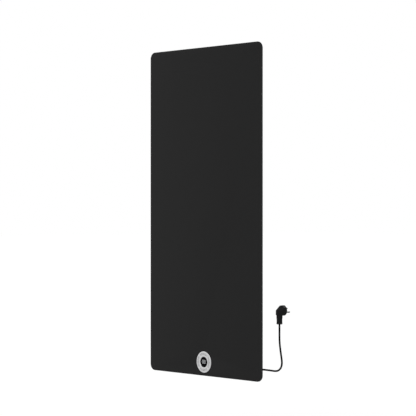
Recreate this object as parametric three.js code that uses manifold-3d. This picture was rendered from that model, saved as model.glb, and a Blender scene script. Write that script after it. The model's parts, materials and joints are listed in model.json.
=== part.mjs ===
// A flat-panel electric towel radiator: a tall front plate with a heated steel casing behind it, an
// electronics box with a round control at the bottom, a mains cord with its plug, and a wall rail.
// Lengths are millimetres. In the heater, x runs to the right, y is the depth behind the plate's front
// face, and z is the height above the plate's bottom edge.
import * as THREE from "three";
import { ConvexGeometry } from "three/addons/geometries/ConvexGeometry.js";
import { mergeVertices } from "three/addons/utils/BufferGeometryUtils.js";
import Module from "manifold-3d";

const wasm = await Module();
wasm.setup();

// Clearances that every piece shares
const seatGap = 0.3;
const passGap = 0.4;
const cutOverrun = 1;

// Front plate
const plateWidth = 600;
const plateHeight = 1200;
const plateThickness = 6;
const plateCornerRadius = 24;
const plateChamfer = 1;

// Seal and frame bonded to the plate's back
const sealThickness = 1.7;
const sealWidth = 12;
const sealInset = 2;
const frameThickness = 3;
const frameWidth = 20;

// Rear casing of folded sheet
const casingDepth = 22.9;
const casingSheet = 1.2;
const casingFlange = 12;
const casingSideInset = 80;
const casingTopInset = 22;
const casingCornerRadius = 12;
const casingScrewEndDistance = 44;

// Fasteners
const screwShankRadius = 1.5;
const screwHeadRadius = 3.6;
const screwHeadHeight = 2.2;
const screwRecessRadius = 1.6;
const screwRecessDepth = 1;
const rivetShankRadius = 2;
const rivetHeadRadius = 4;
const rivetHeadHeight = 1.2;

// Heating parts
const spreaderThickness = 1;
const spreaderMargin = 2;
const wiringZoneHeight = 50;
const cableRadius = 1.5;
const cablePitch = 39;
const cableMargin = 12;
const cableTail = 10;
const matThickness = 20;
const spliceRadius = 3;
const spliceLength = 24;
const leadRadius = 1.3;

// Thermal cut-out and its clip
const cutoutRadius = 8;
const cutoutHeight = 6;
const cutoutX = -60;
const cutoutBladeLength = 7;
const cutoutBladeWidth = 6;
const cutoutBladeThickness = 0.8;
const cutoutBladeDepth = 4.4;
const clipWidth = 5;
const clipSheet = 0.8;
const clipFoot = 5;

// Earth stud
const studRadius = 2.5;
const studLength = 11;
const studFromSpliceX = 20;
const studHeight = 20;
const studNutRadius = 4.5;
const studNutHeight = 3;
const studWasherRadius = 5.5;
const studWasherThickness = 1;

// Electronics box of moulded plastic
const boxBottomInset = 5;
const boxHeight = 93.7;
const boxWall = 2.2;
const boxCornerRadius = 8;
const bossRadius = 5;
const bossFootRadius = 8;
const bossFootThickness = 1.5;
const bossSideDistance = 14;
const bossHeight = 80;
const boxScrewLength = 10;
const ventWidth = 3;
const ventPitch = 9;
const ventCount = 6;
const ventFromSensor = 25;
const ventMargin = 5;

// Round control
const controlHeight = 50;
const bezelRadius = 38.9;
const bezelProud = 1.7;
const bezelChamfer = 0.8;
const bezelFloorDepth = 1.2;
const sleeveRadius = 36.4;
const sleeveWall = 2.8;
const sleeveLength = 14;
const windowRadius = 19.2;
const windowSlope = 0.8;
const innerRimDrop = 0.1;
const clampRingWidth = 4.2;
const clampRingThickness = 3;
const keyInnerRadius = 26.3;
const keyOuterRadius = 32.5;
const keyHalfAngle = THREE.MathUtils.degToRad(37);
const keyRecess = 0.7;
const keyLip = 0.7;
const keyLipThickness = 1.1;
const keyTravel = 0.6;
const lensThickness = 2.7;
const lensFlangeRadius = 22;
const lensFlangeThickness = 1.3;
const lensDrop = 0.5;
const displaySize = 30;
const displayThickness = 2.9;
const displayCornerRadius = 2;
const boardThickness = 1.6;
const matBaseThickness = 1.4;
const domeRadius = 3;
const housingLength = 12.4;
const housingWall = 2;
const housingSpigotRadius = 31.5;
const ribbonWidth = 12;
const ribbonThickness = 0.8;
const ribbonInset = 7;
const ribbonLag = 1;

// Power module
const moduleWidth = 88;
const moduleHeight = 64;
const moduleDepth = 24;
const moduleBottomGap = 17;
const moduleWall = 1.8;
const moduleLipDepth = 3;
const moduleCornerRadius = 4;
const powerBoardMargin = 2;
const powerBoardStand = 1.6;
const relaySize = new THREE.Vector3(19, 15, 15.5);
const transformerSize = new THREE.Vector3(22, 14, 24);
const terminalSize = new THREE.Vector3(36, 12, 12);
const partMargin = 3;
const terminalTopGap = 8;
const terminalFromCentre = 7;
const terminalSlotWidth = 4;
const terminalSlotDepth = 3;
const leadSpacing = 7;

// Duct between the electronics box and the casing
const ductWidth = 26;
const ductThickness = 10;
const ductWall = 1.5;
const ductCollar = 2.5;
const ductEnd = 2;
const ductFromBack = 10.5;

// Room temperature sensor
const sensorRadius = 4;
const sensorLength = 15;
const sensorFlangeRadius = 6;
const sensorFlangeThickness = 1.5;
const sensorSideDistance = 70;
const sensorLeadRadius = 1.2;

// Mains cord, its gland and its clamp
const cordDiameter = 6.6;
const cordHeight = 42.2;
const glandFlangeRadius = 9;
const glandFlangeThickness = 4;
const glandNeckRadius = 6;
const glandInnerThickness = 3;
const glandLength = 34;
const glandRootRadius = 7;
const glandTipRadius = 4.3;
const clampWidth = 9;
const clampSheet = 2;
const clampLegWidth = 3;
const clampLegLength = 4;
const clampFromWall = 7;

// Angled plug
const plugRadius = 18.3;
const plugDiscThickness = 14.8;
const plugDepth = 32.2;
const plugBackHalfWidth = 8.7;
const plugBackRise = 2.8;
const plugBackDrop = 17;
const plugBackRadius = 4;
const plugEdgeRadius = 1.2;
const plugHeight = 253.5;
const plugX = 357.5;
const plugTurn = THREE.MathUtils.degToRad(-9.5);
const handleRadius = 10.1;
const handleDrop = 48;
const handleFromFace = 21.2;
const handleCollarRadius = 10.5;
const handleCollarHeight = 4.5;
const handleShoulderRadius = 10.8;
const handleShoulderDrop = 28;
const handleEdge = 1.2;
const pinRadius = 2.4;
const pinLength = 19;
const pinSpacing = 19;
const pinRoot = 8;
const pinLineTilt = THREE.MathUtils.degToRad(-40);
const earthWidth = 6;
const earthThickness = 1.2;
const earthLength = 12.5;

// Wall fixing
const wallGap = 17.5;
const railLipFromTop = 143;
const railLength = 320;
const railHalfHeight = 20;
const railSheet = 2.5;
const railLip = 17;
const hookDrop = 15;
const hookFromWall = 3;
const hangerLength = 300;
const hangerRivetInset = 25;
const hangerRivetDrop = 22;
const railHoleRadius = 3.25;
const railHoleInset = 35;
const railHolePitch = 65;
const bufferRadius = 10;
const bufferStemRadius = 3.2;
const bufferLipRadius = 4.2;
const bufferLipThickness = 1.5;
const bufferSideDistance = 17;
const bufferHeight = 62;

// How finely round shapes are cut
const finePlanes = 48;
const mediumPlanes = 24;
const smallPlanes = 10;
const leadPlanes = 6;
const cordPlanes = 10;
const cornerSteps = 4;
const keySteps = 4;
const bendSteps = 6;
const leadSteps = 14;
const cordSteps = 24;

// Depths behind the plate's front face
const sealFront = plateThickness + seatGap;
const frameFront = sealFront + sealThickness + seatGap;
const flangeFront = frameFront + frameThickness + seatGap;
const flangeBack = flangeFront + casingSheet;
const casingBack = flangeFront + casingDepth;
const casingInside = casingBack - casingSheet;
const boxInside = casingBack - boxWall;
const standOff = casingBack + wallGap;
const spreaderFront = plateThickness + seatGap;
const spreaderBack = spreaderFront + spreaderThickness;
const cableDepth = spreaderBack + seatGap + cableRadius;
const matFront = cableDepth + cableRadius + seatGap;
const cordExitDepth = (flangeFront + casingBack) / 2;
const ductDepth = casingBack - ductFromBack;

// Sides and heights
const casingHalf = plateWidth / 2 - casingSideInset;
const flangeHalf = casingHalf + casingFlange;
const frameInnerHalf = flangeHalf - frameWidth;
const boxTop = boxBottomInset + boxHeight;
const flangeBottom = boxTop + seatGap;
const flangeTop = plateHeight - casingTopInset + casingFlange;
const casingBottom = flangeBottom + casingFlange;
const casingTop = flangeTop - casingFlange;
const spreaderHalf = frameInnerHalf - spreaderMargin;
const spreaderBottom = flangeBottom + frameWidth + spreaderMargin;
const spreaderTop = flangeTop - frameWidth - spreaderMargin;
const matBottom = spreaderBottom + wiringZoneHeight;
const lipTop = railHalfHeight + railLip;
const railHeight = plateHeight - railLipFromTop - lipTop;
const sensorX = sensorSideDistance - casingHalf;
const housingInner = sleeveRadius + seatGap;
const housingOuter = housingInner + housingWall;
const moduleCentre = (housingOuter + casingHalf) / 2;
const moduleLeft = moduleCentre - moduleWidth / 2;
const moduleRight = moduleCentre + moduleWidth / 2;
const terminalX = moduleCentre + terminalFromCentre;
const moduleBottom = boxBottomInset + moduleBottomGap;
const moduleTop = moduleBottom + moduleHeight;
const moduleBack = boxInside - seatGap;
const moduleFront = moduleBack - moduleDepth;
const powerBoardBack = moduleBack - moduleWall - powerBoardStand;
const powerBoardFront = powerBoardBack - boardThickness;
const partBack = powerBoardFront - seatGap;
const terminalTop = moduleTop - terminalTopGap;
const leadXs = [terminalX - leadSpacing, terminalX, terminalX + leadSpacing];

const looks = {
  plate: new THREE.MeshStandardMaterial({ color: 0x29292a, roughness: 0.55, metalness: 0 }),
  silver: new THREE.MeshStandardMaterial({ color: 0xb9babc, roughness: 0.3, metalness: 0.9 }),
  steel: new THREE.MeshStandardMaterial({ color: 0x9a9c9f, roughness: 0.45, metalness: 0.9 }),
  casing: new THREE.MeshStandardMaterial({ color: 0x3a3a3c, roughness: 0.6, metalness: 0.2 }),
  aluminium: new THREE.MeshStandardMaterial({ color: 0xc6c8ca, roughness: 0.4, metalness: 0.9 }),
  brass: new THREE.MeshStandardMaterial({ color: 0xb79a55, roughness: 0.35, metalness: 0.9 }),
  black: new THREE.MeshStandardMaterial({ color: 0x0e0e0f, roughness: 0.5, metalness: 0 }),
  rubber: new THREE.MeshStandardMaterial({ color: 0x1a1a1b, roughness: 0.8, metalness: 0 }),
  seal: new THREE.MeshStandardMaterial({ color: 0x6e6f70, roughness: 0.8, metalness: 0 }),
  mineral: new THREE.MeshStandardMaterial({ color: 0xc9bd96, roughness: 1, metalness: 0 }),
  board: new THREE.MeshStandardMaterial({ color: 0x1f5a37, roughness: 0.6, metalness: 0 }),
  red: new THREE.MeshStandardMaterial({ color: 0x8e2f25, roughness: 0.6, metalness: 0 }),
  white: new THREE.MeshStandardMaterial({ color: 0xd9d9d4, roughness: 0.6, metalness: 0 }),
};

// Turning geometry into solids and back
function toSolid(geometry) {
  const bare = geometry.clone();
  bare.deleteAttribute("normal");
  bare.deleteAttribute("uv");
  const merged = mergeVertices(bare);
  return new wasm.Manifold(
    new wasm.Mesh({
      numProp: 3,
      vertProperties: merged.attributes.position.array,
      triVerts: new Uint32Array(merged.index.array),
    }),
  );
}

function toGeometry(solid) {
  const mesh = solid.getMesh();
  const geometry = new THREE.BufferGeometry();
  geometry.setAttribute("position", new THREE.BufferAttribute(mesh.vertProperties, mesh.numProp));
  geometry.setIndex(new THREE.BufferAttribute(mesh.triVerts, 1));
  return geometry;
}

function cut(geometry, tools) {
  const solid = tools.reduce((rest, tool) => rest.subtract(toSolid(tool)), toSolid(geometry));
  return toGeometry(solid);
}

function join(geometries) {
  const solids = geometries.map(toSolid);
  return toGeometry(solids.reduce((sum, solid) => sum.add(solid)));
}

// Basic forms
function block(left, right, front, back, bottom, top) {
  const geometry = new THREE.BoxGeometry(right - left, back - front, top - bottom);
  return geometry.translate((left + right) / 2, (front + back) / 2, (bottom + top) / 2);
}

function rod(radius, front, back, x, z, planes = smallPlanes) {
  const geometry = new THREE.CylinderGeometry(radius, radius, back - front, planes);
  return geometry.translate(x, (front + back) / 2, z);
}

// A hole's cutting tool goes round the circle, so that the hole's flats never come inside its radius.
function bore(radius, front, back, x, z, planes = smallPlanes) {
  return rod(radius / Math.cos(Math.PI / planes), front, back, x, z, planes);
}

// An outline in x and z, given thickness from one depth to a deeper one
function slab(outline, front, back, curveSegments = cornerSteps) {
  const options = { depth: back - front, bevelEnabled: false, curveSegments };
  const geometry = new THREE.ExtrudeGeometry(outline, options);
  return geometry.rotateX(Math.PI / 2).translate(0, back, 0);
}

// A profile of [depth, height] points, run from one x to another
function rail(profile, left, right) {
  const outline = new THREE.Shape(profile.map(([y, z]) => new THREE.Vector2(y, z)));
  const geometry = new THREE.ExtrudeGeometry(outline, { depth: right - left, bevelEnabled: false });
  const turn = new THREE.Matrix4().set(0, 0, 1, 0, 1, 0, 0, 0, 0, 1, 0, 0, 0, 0, 0, 1);
  return geometry.applyMatrix4(turn).translate(left, 0, 0);
}

// A profile of [x, depth] points, run from one height to another
function strip(profile, bottom, top) {
  const outline = new THREE.Shape(profile.map(([x, y]) => new THREE.Vector2(x, y)));
  const geometry = new THREE.ExtrudeGeometry(outline, { depth: top - bottom, bevelEnabled: false });
  return geometry.translate(0, 0, bottom);
}

// A profile of [radius, depth] points, turned round a line along y. Its faces point outwards when the
// profile runs anticlockwise, so one that runs the other way is taken backwards.
function turned(profile, planes = mediumPlanes) {
  const points = profile.map(([r, y]) => new THREE.Vector2(r, y));
  if (THREE.ShapeUtils.isClockWise(points)) points.reverse();
  return new THREE.LatheGeometry(points, planes);
}

// An outline with round corners, as a shape or as the path of a hole
function roundedOutline(Kind, left, right, bottom, top, radius) {
  const outline = new Kind();
  outline.moveTo(left + radius, bottom);
  outline.lineTo(right - radius, bottom);
  outline.absarc(right - radius, bottom + radius, radius, -Math.PI / 2, 0);
  outline.lineTo(right, top - radius);
  outline.absarc(right - radius, top - radius, radius, 0, Math.PI / 2);
  outline.lineTo(left + radius, top);
  outline.absarc(left + radius, top - radius, radius, Math.PI / 2, Math.PI);
  outline.lineTo(left, bottom + radius);
  outline.absarc(left + radius, bottom + radius, radius, Math.PI, (3 * Math.PI) / 2);
  return outline;
}

// A round hole drawn round its circle
function roundHole(radius, x, z, planes) {
  const reach = radius / Math.cos(Math.PI / planes);
  const points = [];
  for (let i = 0; i < planes; i++) {
    const angle = (2 * Math.PI * i) / planes;
    points.push(new THREE.Vector2(x + reach * Math.cos(angle), z + reach * Math.sin(angle)));
  }
  return new THREE.Path(points);
}

// A closed band between two rounded outlines
function bandInnerRadius(radius, width) {
  return Math.max(radius - width, radius / 2);
}

function band(half, bottom, top, radius, width) {
  const outline = roundedOutline(THREE.Shape, -half, half, bottom, top, radius);
  const inside = [-half + width, half - width, bottom + width, top - width];
  outline.holes.push(roundedOutline(THREE.Path, ...inside, bandInnerRadius(radius, width)));
  return outline;
}

// A path that takes its steps at the stations given, not at even distances
class StationPath extends THREE.Curve {
  constructor(stations) {
    super();
    this.stations = stations;
  }
  getPoint(t, target = new THREE.Vector3()) {
    const place = t * (this.stations.length - 1);
    const index = Math.min(Math.floor(place), this.stations.length - 2);
    return target.lerpVectors(this.stations[index], this.stations[index + 1], place - index);
  }
  getUtoTmapping(u) {
    return u;
  }
}

function tube(path, steps, radius, planes) {
  const section = [];
  for (let i = 0; i < planes; i++) {
    const angle = (2 * Math.PI * i) / planes;
    section.push(new THREE.Vector2(radius * Math.cos(angle), radius * Math.sin(angle)));
  }
  const options = { steps, bevelEnabled: false, extrudePath: path };
  return new THREE.ExtrudeGeometry(new THREE.Shape(section), options);
}

function smoothRoute(points) {
  const places = points.map(([x, y, z]) => new THREE.Vector3(x, y, z));
  return new THREE.CatmullRomCurve3(places, false, "centripetal");
}

function lead(points, radius = leadRadius) {
  return tube(smoothRoute(points), leadSteps, radius, leadPlanes);
}

const radiator = new THREE.Group();
const heater = new THREE.Group();
heater.position.set(0, -standOff, -railHeight);
radiator.add(heater);

function place(parent, name, geometry, material) {
  const mesh = new THREE.Mesh(geometry, material);
  mesh.name = name;
  parent.add(mesh);
}

// Front plate with its control hole
{
  const half = plateWidth / 2;
  const outline = roundedOutline(THREE.Shape, -half, half, 0, plateHeight, plateCornerRadius);
  outline.holes.push(roundHole(sleeveRadius + passGap + plateChamfer, 0, controlHeight, finePlanes));
  const geometry = new THREE.ExtrudeGeometry(outline, {
    depth: plateThickness - 2 * plateChamfer,
    bevelThickness: plateChamfer,
    bevelSize: plateChamfer,
    bevelOffset: -plateChamfer,
    bevelSegments: 1,
    curveSegments: cornerSteps,
  });
  geometry.rotateX(Math.PI / 2).translate(0, plateThickness - plateChamfer, 0);
  place(heater, "front_plate", geometry, looks.plate);
}

// Seal and bonding frame
const frameRadius = casingCornerRadius + casingFlange;
const casingScrewX = casingHalf + casingFlange / 2;
const casingScrewHeights = [
  flangeBottom + casingScrewEndDistance,
  (flangeBottom + flangeTop) / 2,
  flangeTop - casingScrewEndDistance,
];
const casingScrewPlaces = [-casingScrewX, casingScrewX].flatMap((x) =>
  casingScrewHeights.map((z) => [x, z]),
);
{
  const sealHalf = flangeHalf - sealInset;
  const sealRadius = frameRadius - sealInset;
  const seal = band(sealHalf, flangeBottom + sealInset, flangeTop - sealInset, sealRadius, sealWidth);
  place(heater, "seal_gasket", slab(seal, sealFront, sealFront + sealThickness), looks.seal);

  const frame = slab(
    band(flangeHalf, flangeBottom, flangeTop, frameRadius, frameWidth),
    frameFront,
    frameFront + frameThickness,
  );
  const holes = casingScrewPlaces.map(([x, z]) =>
    bore(screwShankRadius + passGap, frameFront - cutOverrun, flangeFront, x, z),
  );
  place(heater, "bonding_frame", cut(frame, holes), looks.aluminium);
}

// Rear casing, with holes for its screws, the hanger's rivets and the cable duct
const rivetHeight = railHeight - hangerRivetDrop + railHalfHeight;
const rivetXs = [-hangerLength / 2 + hangerRivetInset, hangerLength / 2 - hangerRivetInset];
const ductOuterWidth = ductWidth + 2 * ductWall;
const ductOuterThickness = ductThickness + 2 * ductWall;

function ductBlock(extra, bottom, top) {
  const halfWidth = ductOuterWidth / 2 + extra;
  const halfThickness = ductOuterThickness / 2 + extra;
  return block(
    terminalX - halfWidth,
    terminalX + halfWidth,
    ductDepth - halfThickness,
    ductDepth + halfThickness,
    bottom,
    top,
  );
}

{
  const flange = roundedOutline(
    THREE.Shape, -flangeHalf, flangeHalf, flangeBottom, flangeTop, frameRadius,
  );
  const outside = roundedOutline(
    THREE.Shape, -casingHalf, casingHalf, casingBottom, casingTop, casingCornerRadius,
  );
  const inside = roundedOutline(
    THREE.Shape,
    -casingHalf + casingSheet,
    casingHalf - casingSheet,
    casingBottom + casingSheet,
    casingTop - casingSheet,
    casingCornerRadius - casingSheet,
  );
  const tray = join([slab(flange, flangeFront, flangeBack), slab(outside, flangeFront, casingBack)]);
  const screwHoles = casingScrewPlaces.map(([x, z]) =>
    bore(screwShankRadius + passGap, flangeFront - cutOverrun, flangeBack + cutOverrun, x, z),
  );
  const rivetHoles = rivetXs.map((x) =>
    bore(rivetShankRadius + passGap, casingInside - cutOverrun, casingBack + cutOverrun, x, rivetHeight),
  );
  const hollow = slab(inside, flangeFront - cutOverrun, casingInside);
  const ductHole = ductBlock(passGap, casingBottom - cutOverrun, casingBottom + casingSheet + cutOverrun);
  place(heater, "rear_casing", cut(tray, [hollow, ...screwHoles, ...rivetHoles, ductHole]), looks.casing);
}

// Pan-head screw along y: its head's underside at the given depth, its shank towards the plate
function screw(underside, shankLength, x, z) {
  const head = underside + screwHeadHeight;
  const body = join([
    rod(screwHeadRadius, underside, head, x, z),
    rod(screwShankRadius, underside - shankLength, underside + screwHeadHeight / 2, x, z),
  ]);
  const socket = rod(screwRecessRadius, head - screwRecessDepth, head + cutOverrun, x, z, leadPlanes);
  return cut(body, [socket]);
}

casingScrewPlaces.forEach(([x, z], i) => {
  const shankLength = casingSheet + frameThickness + seatGap;
  const geometry = screw(flangeBack + seatGap, shankLength, x, z);
  place(heater, `casing_screw_${i + 1}`, geometry, looks.steel);
});

// Heat spreader, heating cable and insulation mat
const fillRadius = bandInnerRadius(frameRadius, frameWidth);

function fillOutline(bottom) {
  return roundedOutline(THREE.Shape, -spreaderHalf, spreaderHalf, bottom, spreaderTop, fillRadius);
}

const spreader = slab(fillOutline(spreaderBottom), spreaderFront, spreaderBack);
place(heater, "heat_spreader", spreader, looks.aluminium);

const cableRunPairs = Math.floor((2 * (spreaderHalf - cableMargin)) / (2 * cablePitch));
const cableRuns = 2 * cableRunPairs;
const cableStartX = -((cableRuns - 1) * cablePitch) / 2;
const cableEndHeight = matBottom - cableTail;
{
  const bendRadius = cablePitch / 2;
  const bendLow = matBottom + cableMargin + bendRadius;
  const bendHigh = spreaderTop - cableMargin - bendRadius;
  const stations = [new THREE.Vector3(cableStartX, cableDepth, cableEndHeight)];
  for (let run = 0; run < cableRuns - 1; run++) {
    const rising = run % 2 === 0;
    const height = rising ? bendHigh : bendLow;
    const middle = cableStartX + (run + 0.5) * cablePitch;
    for (let step = 0; step <= bendSteps; step++) {
      const angle = (Math.PI * step) / bendSteps;
      const lift = (rising ? 1 : -1) * bendRadius * Math.sin(angle);
      const x = middle - bendRadius * Math.cos(angle);
      stations.push(new THREE.Vector3(x, cableDepth, height + lift));
    }
  }
  stations.push(new THREE.Vector3(-cableStartX, cableDepth, cableEndHeight));
  const path = new StationPath(stations);
  place(heater, "heating_cable", tube(path, stations.length - 1, cableRadius, leadPlanes), looks.red);
}

const mat = slab(fillOutline(matBottom), matFront, matFront + matThickness);
place(heater, "insulation_mat", mat, looks.mineral);

// Thermal cut-out on the spreader, under its clip
const cutoutFront = spreaderBack + seatGap;
const cutoutBack = cutoutFront + cutoutHeight;
const cutoutZ = spreaderBottom + wiringZoneHeight / 2;
const bladeFront = cutoutFront + cutoutBladeDepth;
const bladeReach = cutoutRadius + cutoutBladeLength;
{
  const body = rod(cutoutRadius, cutoutFront, cutoutBack, cutoutX, cutoutZ, mediumPlanes);
  const blades = block(
    cutoutX - bladeReach,
    cutoutX + bladeReach,
    bladeFront,
    bladeFront + cutoutBladeThickness,
    cutoutZ - cutoutBladeWidth / 2,
    cutoutZ + cutoutBladeWidth / 2,
  );
  place(heater, "thermal_cutout", join([body, blades]), looks.black);

  const near = cutoutRadius + passGap;
  const far = near + clipSheet;
  const foot = far + clipFoot;
  const top = cutoutBack + seatGap;
  const half = [
    [foot, cutoutFront],
    [foot, cutoutFront + clipSheet],
    [far, cutoutFront + clipSheet],
    [far, top + clipSheet],
  ];
  const innerHalf = [[near, top], [near, cutoutFront]];
  const mirror = (points) => points.map(([u, y]) => [-u, y]).reverse();
  const profile = [...half, ...mirror(half), ...mirror(innerHalf), ...innerHalf];
  const shape = profile.map(([u, y]) => [y, cutoutZ + u]);
  const geometry = rail(shape, cutoutX - clipWidth / 2, cutoutX + clipWidth / 2);
  place(heater, "cutout_clip", geometry, looks.steel);
}

// Earth stud on the casing, with its nut and the ring of the earth lead
const studX = -cableStartX - studFromSpliceX;
const studZ = spreaderBottom + studHeight;
const studTip = casingInside - seatGap - studLength;
const studNutBack = (studTip + casingInside) / 2 + studNutHeight / 2;
const studWasherBack = studNutBack - studNutHeight;
{
  const parts = [
    rod(studRadius, studTip, casingInside - seatGap, studX, studZ),
    rod(studNutRadius, studNutBack - studNutHeight, studNutBack, studX, studZ, leadPlanes),
    rod(studWasherRadius, studWasherBack - studWasherThickness, studWasherBack, studX, studZ),
  ];
  place(heater, "earth_stud", join(parts), looks.brass);
}

// Electronics box with its openings
const cordClampX = casingHalf - boxWall - clampFromWall - clampWidth / 2;
const cordRadius = cordDiameter / 2;
const saddleDepth = cordExitDepth + cordRadius + passGap;
const clampLegBack = saddleDepth + clampLegLength;
const clampHalf = cordRadius + passGap + clampLegWidth;
const bossX = casingHalf - bossSideDistance;
const bufferX = casingHalf - bufferSideDistance;
const sensorDepth = (plateThickness + casingBack) / 2;

// The clamp's legs at both sides of the cord, given room on each side
function clampLegs(extra, front, back) {
  return [-1, 1].map((side) => {
    const middle = cordHeight + side * (cordRadius + passGap + clampLegWidth / 2);
    const halfLeg = clampLegWidth / 2 + extra;
    return block(
      cordClampX - clampWidth / 2 - extra,
      cordClampX + clampWidth / 2 + extra,
      front,
      back,
      middle - halfLeg,
      middle + halfLeg,
    );
  });
}

{
  const front = plateThickness + seatGap;
  const outside = roundedOutline(
    THREE.Shape, -casingHalf, casingHalf, boxBottomInset, boxTop, boxCornerRadius,
  );
  const inside = roundedOutline(
    THREE.Shape,
    -casingHalf + boxWall,
    casingHalf - boxWall,
    boxBottomInset + boxWall,
    boxTop - boxWall,
    boxCornerRadius - boxWall,
  );
  const hollow = slab(inside, front - cutOverrun, boxInside);
  const shell = cut(slab(outside, front, casingBack), [hollow]);
  const saddle = block(
    cordClampX - clampWidth / 2 - clampSheet,
    cordClampX + clampWidth / 2 + clampSheet,
    saddleDepth,
    boxInside + boxWall / 2,
    cordHeight - clampHalf - clampSheet,
    cordHeight + clampHalf + clampSheet,
  );
  const tools = [ductBlock(passGap, boxTop - boxWall - cutOverrun, boxTop + cutOverrun)];
  tools.push(...clampLegs(seatGap, saddleDepth - cutOverrun, clampLegBack + seatGap));
  for (const side of [-1, 1]) {
    const wallBack = casingBack + cutOverrun;
    const wallFront = boxInside - cutOverrun;
    tools.push(bore(screwShankRadius + passGap, wallFront, wallBack, side * bossX, bossHeight));
    tools.push(bore(bufferStemRadius + passGap, wallFront, wallBack, side * bufferX, bufferHeight));
  }
  const neckHole = new THREE.CylinderGeometry(
    (glandNeckRadius + passGap) / Math.cos(Math.PI / mediumPlanes),
    (glandNeckRadius + passGap) / Math.cos(Math.PI / mediumPlanes),
    boxWall + 2 * cutOverrun,
    mediumPlanes,
  );
  tools.push(neckHole.rotateZ(Math.PI / 2).translate(casingHalf - boxWall / 2, cordExitDepth, cordHeight));
  const sensorHole = new THREE.CylinderGeometry(
    (sensorRadius + passGap) / Math.cos(Math.PI / smallPlanes),
    (sensorRadius + passGap) / Math.cos(Math.PI / smallPlanes),
    boxWall + 2 * cutOverrun,
    smallPlanes,
  );
  tools.push(sensorHole.rotateX(Math.PI / 2).translate(sensorX, sensorDepth, boxBottomInset + boxWall / 2));
  for (let i = 0; i < ventCount; i++) {
    const left = sensorX + ventFromSensor + i * ventPitch;
    const bottom = boxBottomInset - cutOverrun;
    const top = boxBottomInset + boxWall + cutOverrun;
    tools.push(block(left, left + ventWidth, front + ventMargin, boxInside - ventMargin, bottom, top));
  }
  place(heater, "electronics_box", cut(join([shell, saddle]), tools), looks.casing);
}

// Bosses bonded to the plate, and the screws that hold the box on them
[-1, 1].forEach((side) => {
  const word = side < 0 ? "left" : "right";
  const x = side * bossX;
  const bossBack = boxInside - seatGap;
  const screwFront = casingBack + seatGap - boxWall - boxScrewLength;
  const bossFront = plateThickness + seatGap;
  const body = join([
    rod(bossFootRadius, bossFront, bossFront + bossFootThickness, x, bossHeight),
    rod(bossRadius, bossFront, bossBack, x, bossHeight),
  ]);
  const holeRadius = screwShankRadius + seatGap;
  const hole = bore(holeRadius, screwFront - cutOverrun, bossBack + cutOverrun, x, bossHeight);
  place(heater, `glass_boss_${word}`, cut(body, [hole]), looks.aluminium);
  const fastener = screw(casingBack + seatGap, boxWall + boxScrewLength, x, bossHeight);
  place(heater, `box_screw_${word}`, fastener, looks.steel);
});

// Control bezel: rim, sleeve through the plate, and a floor with a window for each key
const keyCentreRadius = (keyInnerRadius + keyOuterRadius) / 2;
const keyNames = ["key_power", "key_up", "key_mode", "key_down"];

function sector(innerRadius, outerRadius, centre, halfAngle) {
  const outline = new THREE.Shape();
  outline.absarc(0, controlHeight, outerRadius, centre - halfAngle, centre + halfAngle, false);
  outline.absarc(0, controlHeight, innerRadius, centre + halfAngle, centre - halfAngle, true);
  outline.closePath();
  return outline;
}

const rimFront = -bezelProud;
const innerRimFront = rimFront + innerRimDrop;
const keyFront = rimFront + keyRecess;
const keyLipFront = bezelFloorDepth + seatGap;
const keyLipBack = keyLipFront + keyLipThickness;
{
  const sleeveInner = sleeveRadius - sleeveWall;
  const profile = [
    [windowRadius, bezelFloorDepth],
    [sleeveInner, bezelFloorDepth],
    [sleeveInner, sleeveLength],
    [sleeveRadius, sleeveLength],
    [sleeveRadius, -seatGap],
    [bezelRadius, -seatGap],
    [bezelRadius, rimFront + bezelChamfer],
    [bezelRadius - bezelChamfer, rimFront],
    [keyOuterRadius + seatGap, rimFront],
    [keyInnerRadius - seatGap, innerRimFront],
    [windowRadius + windowSlope, innerRimFront],
    [windowRadius, innerRimFront + windowSlope],
    [windowRadius, bezelFloorDepth],
  ];
  const ring = turned(profile, finePlanes).translate(0, 0, controlHeight);
  const windows = keyNames.map((name, i) => {
    const outline = sector(
      keyInnerRadius - seatGap,
      keyOuterRadius + seatGap,
      (i * Math.PI) / 2,
      keyHalfAngle + seatGap / keyInnerRadius,
    );
    return slab(outline, rimFront - cutOverrun, bezelFloorDepth + cutOverrun, keySteps);
  });
  place(heater, "control_bezel", cut(ring, windows), looks.silver);
}

keyNames.forEach((name, i) => {
  const centre = (i * Math.PI) / 2;
  const cap = sector(keyInnerRadius, keyOuterRadius, centre, keyHalfAngle);
  const lip = sector(
    keyInnerRadius - keyLip,
    keyOuterRadius + keyLip,
    centre,
    keyHalfAngle + keyLip / keyInnerRadius,
  );
  const capSolid = slab(cap, keyFront, keyLipBack, keySteps);
  const lipSolid = slab(lip, keyLipFront, keyLipBack, keySteps);
  place(heater, name, join([capSolid, lipSolid]), looks.silver);
});

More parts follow.
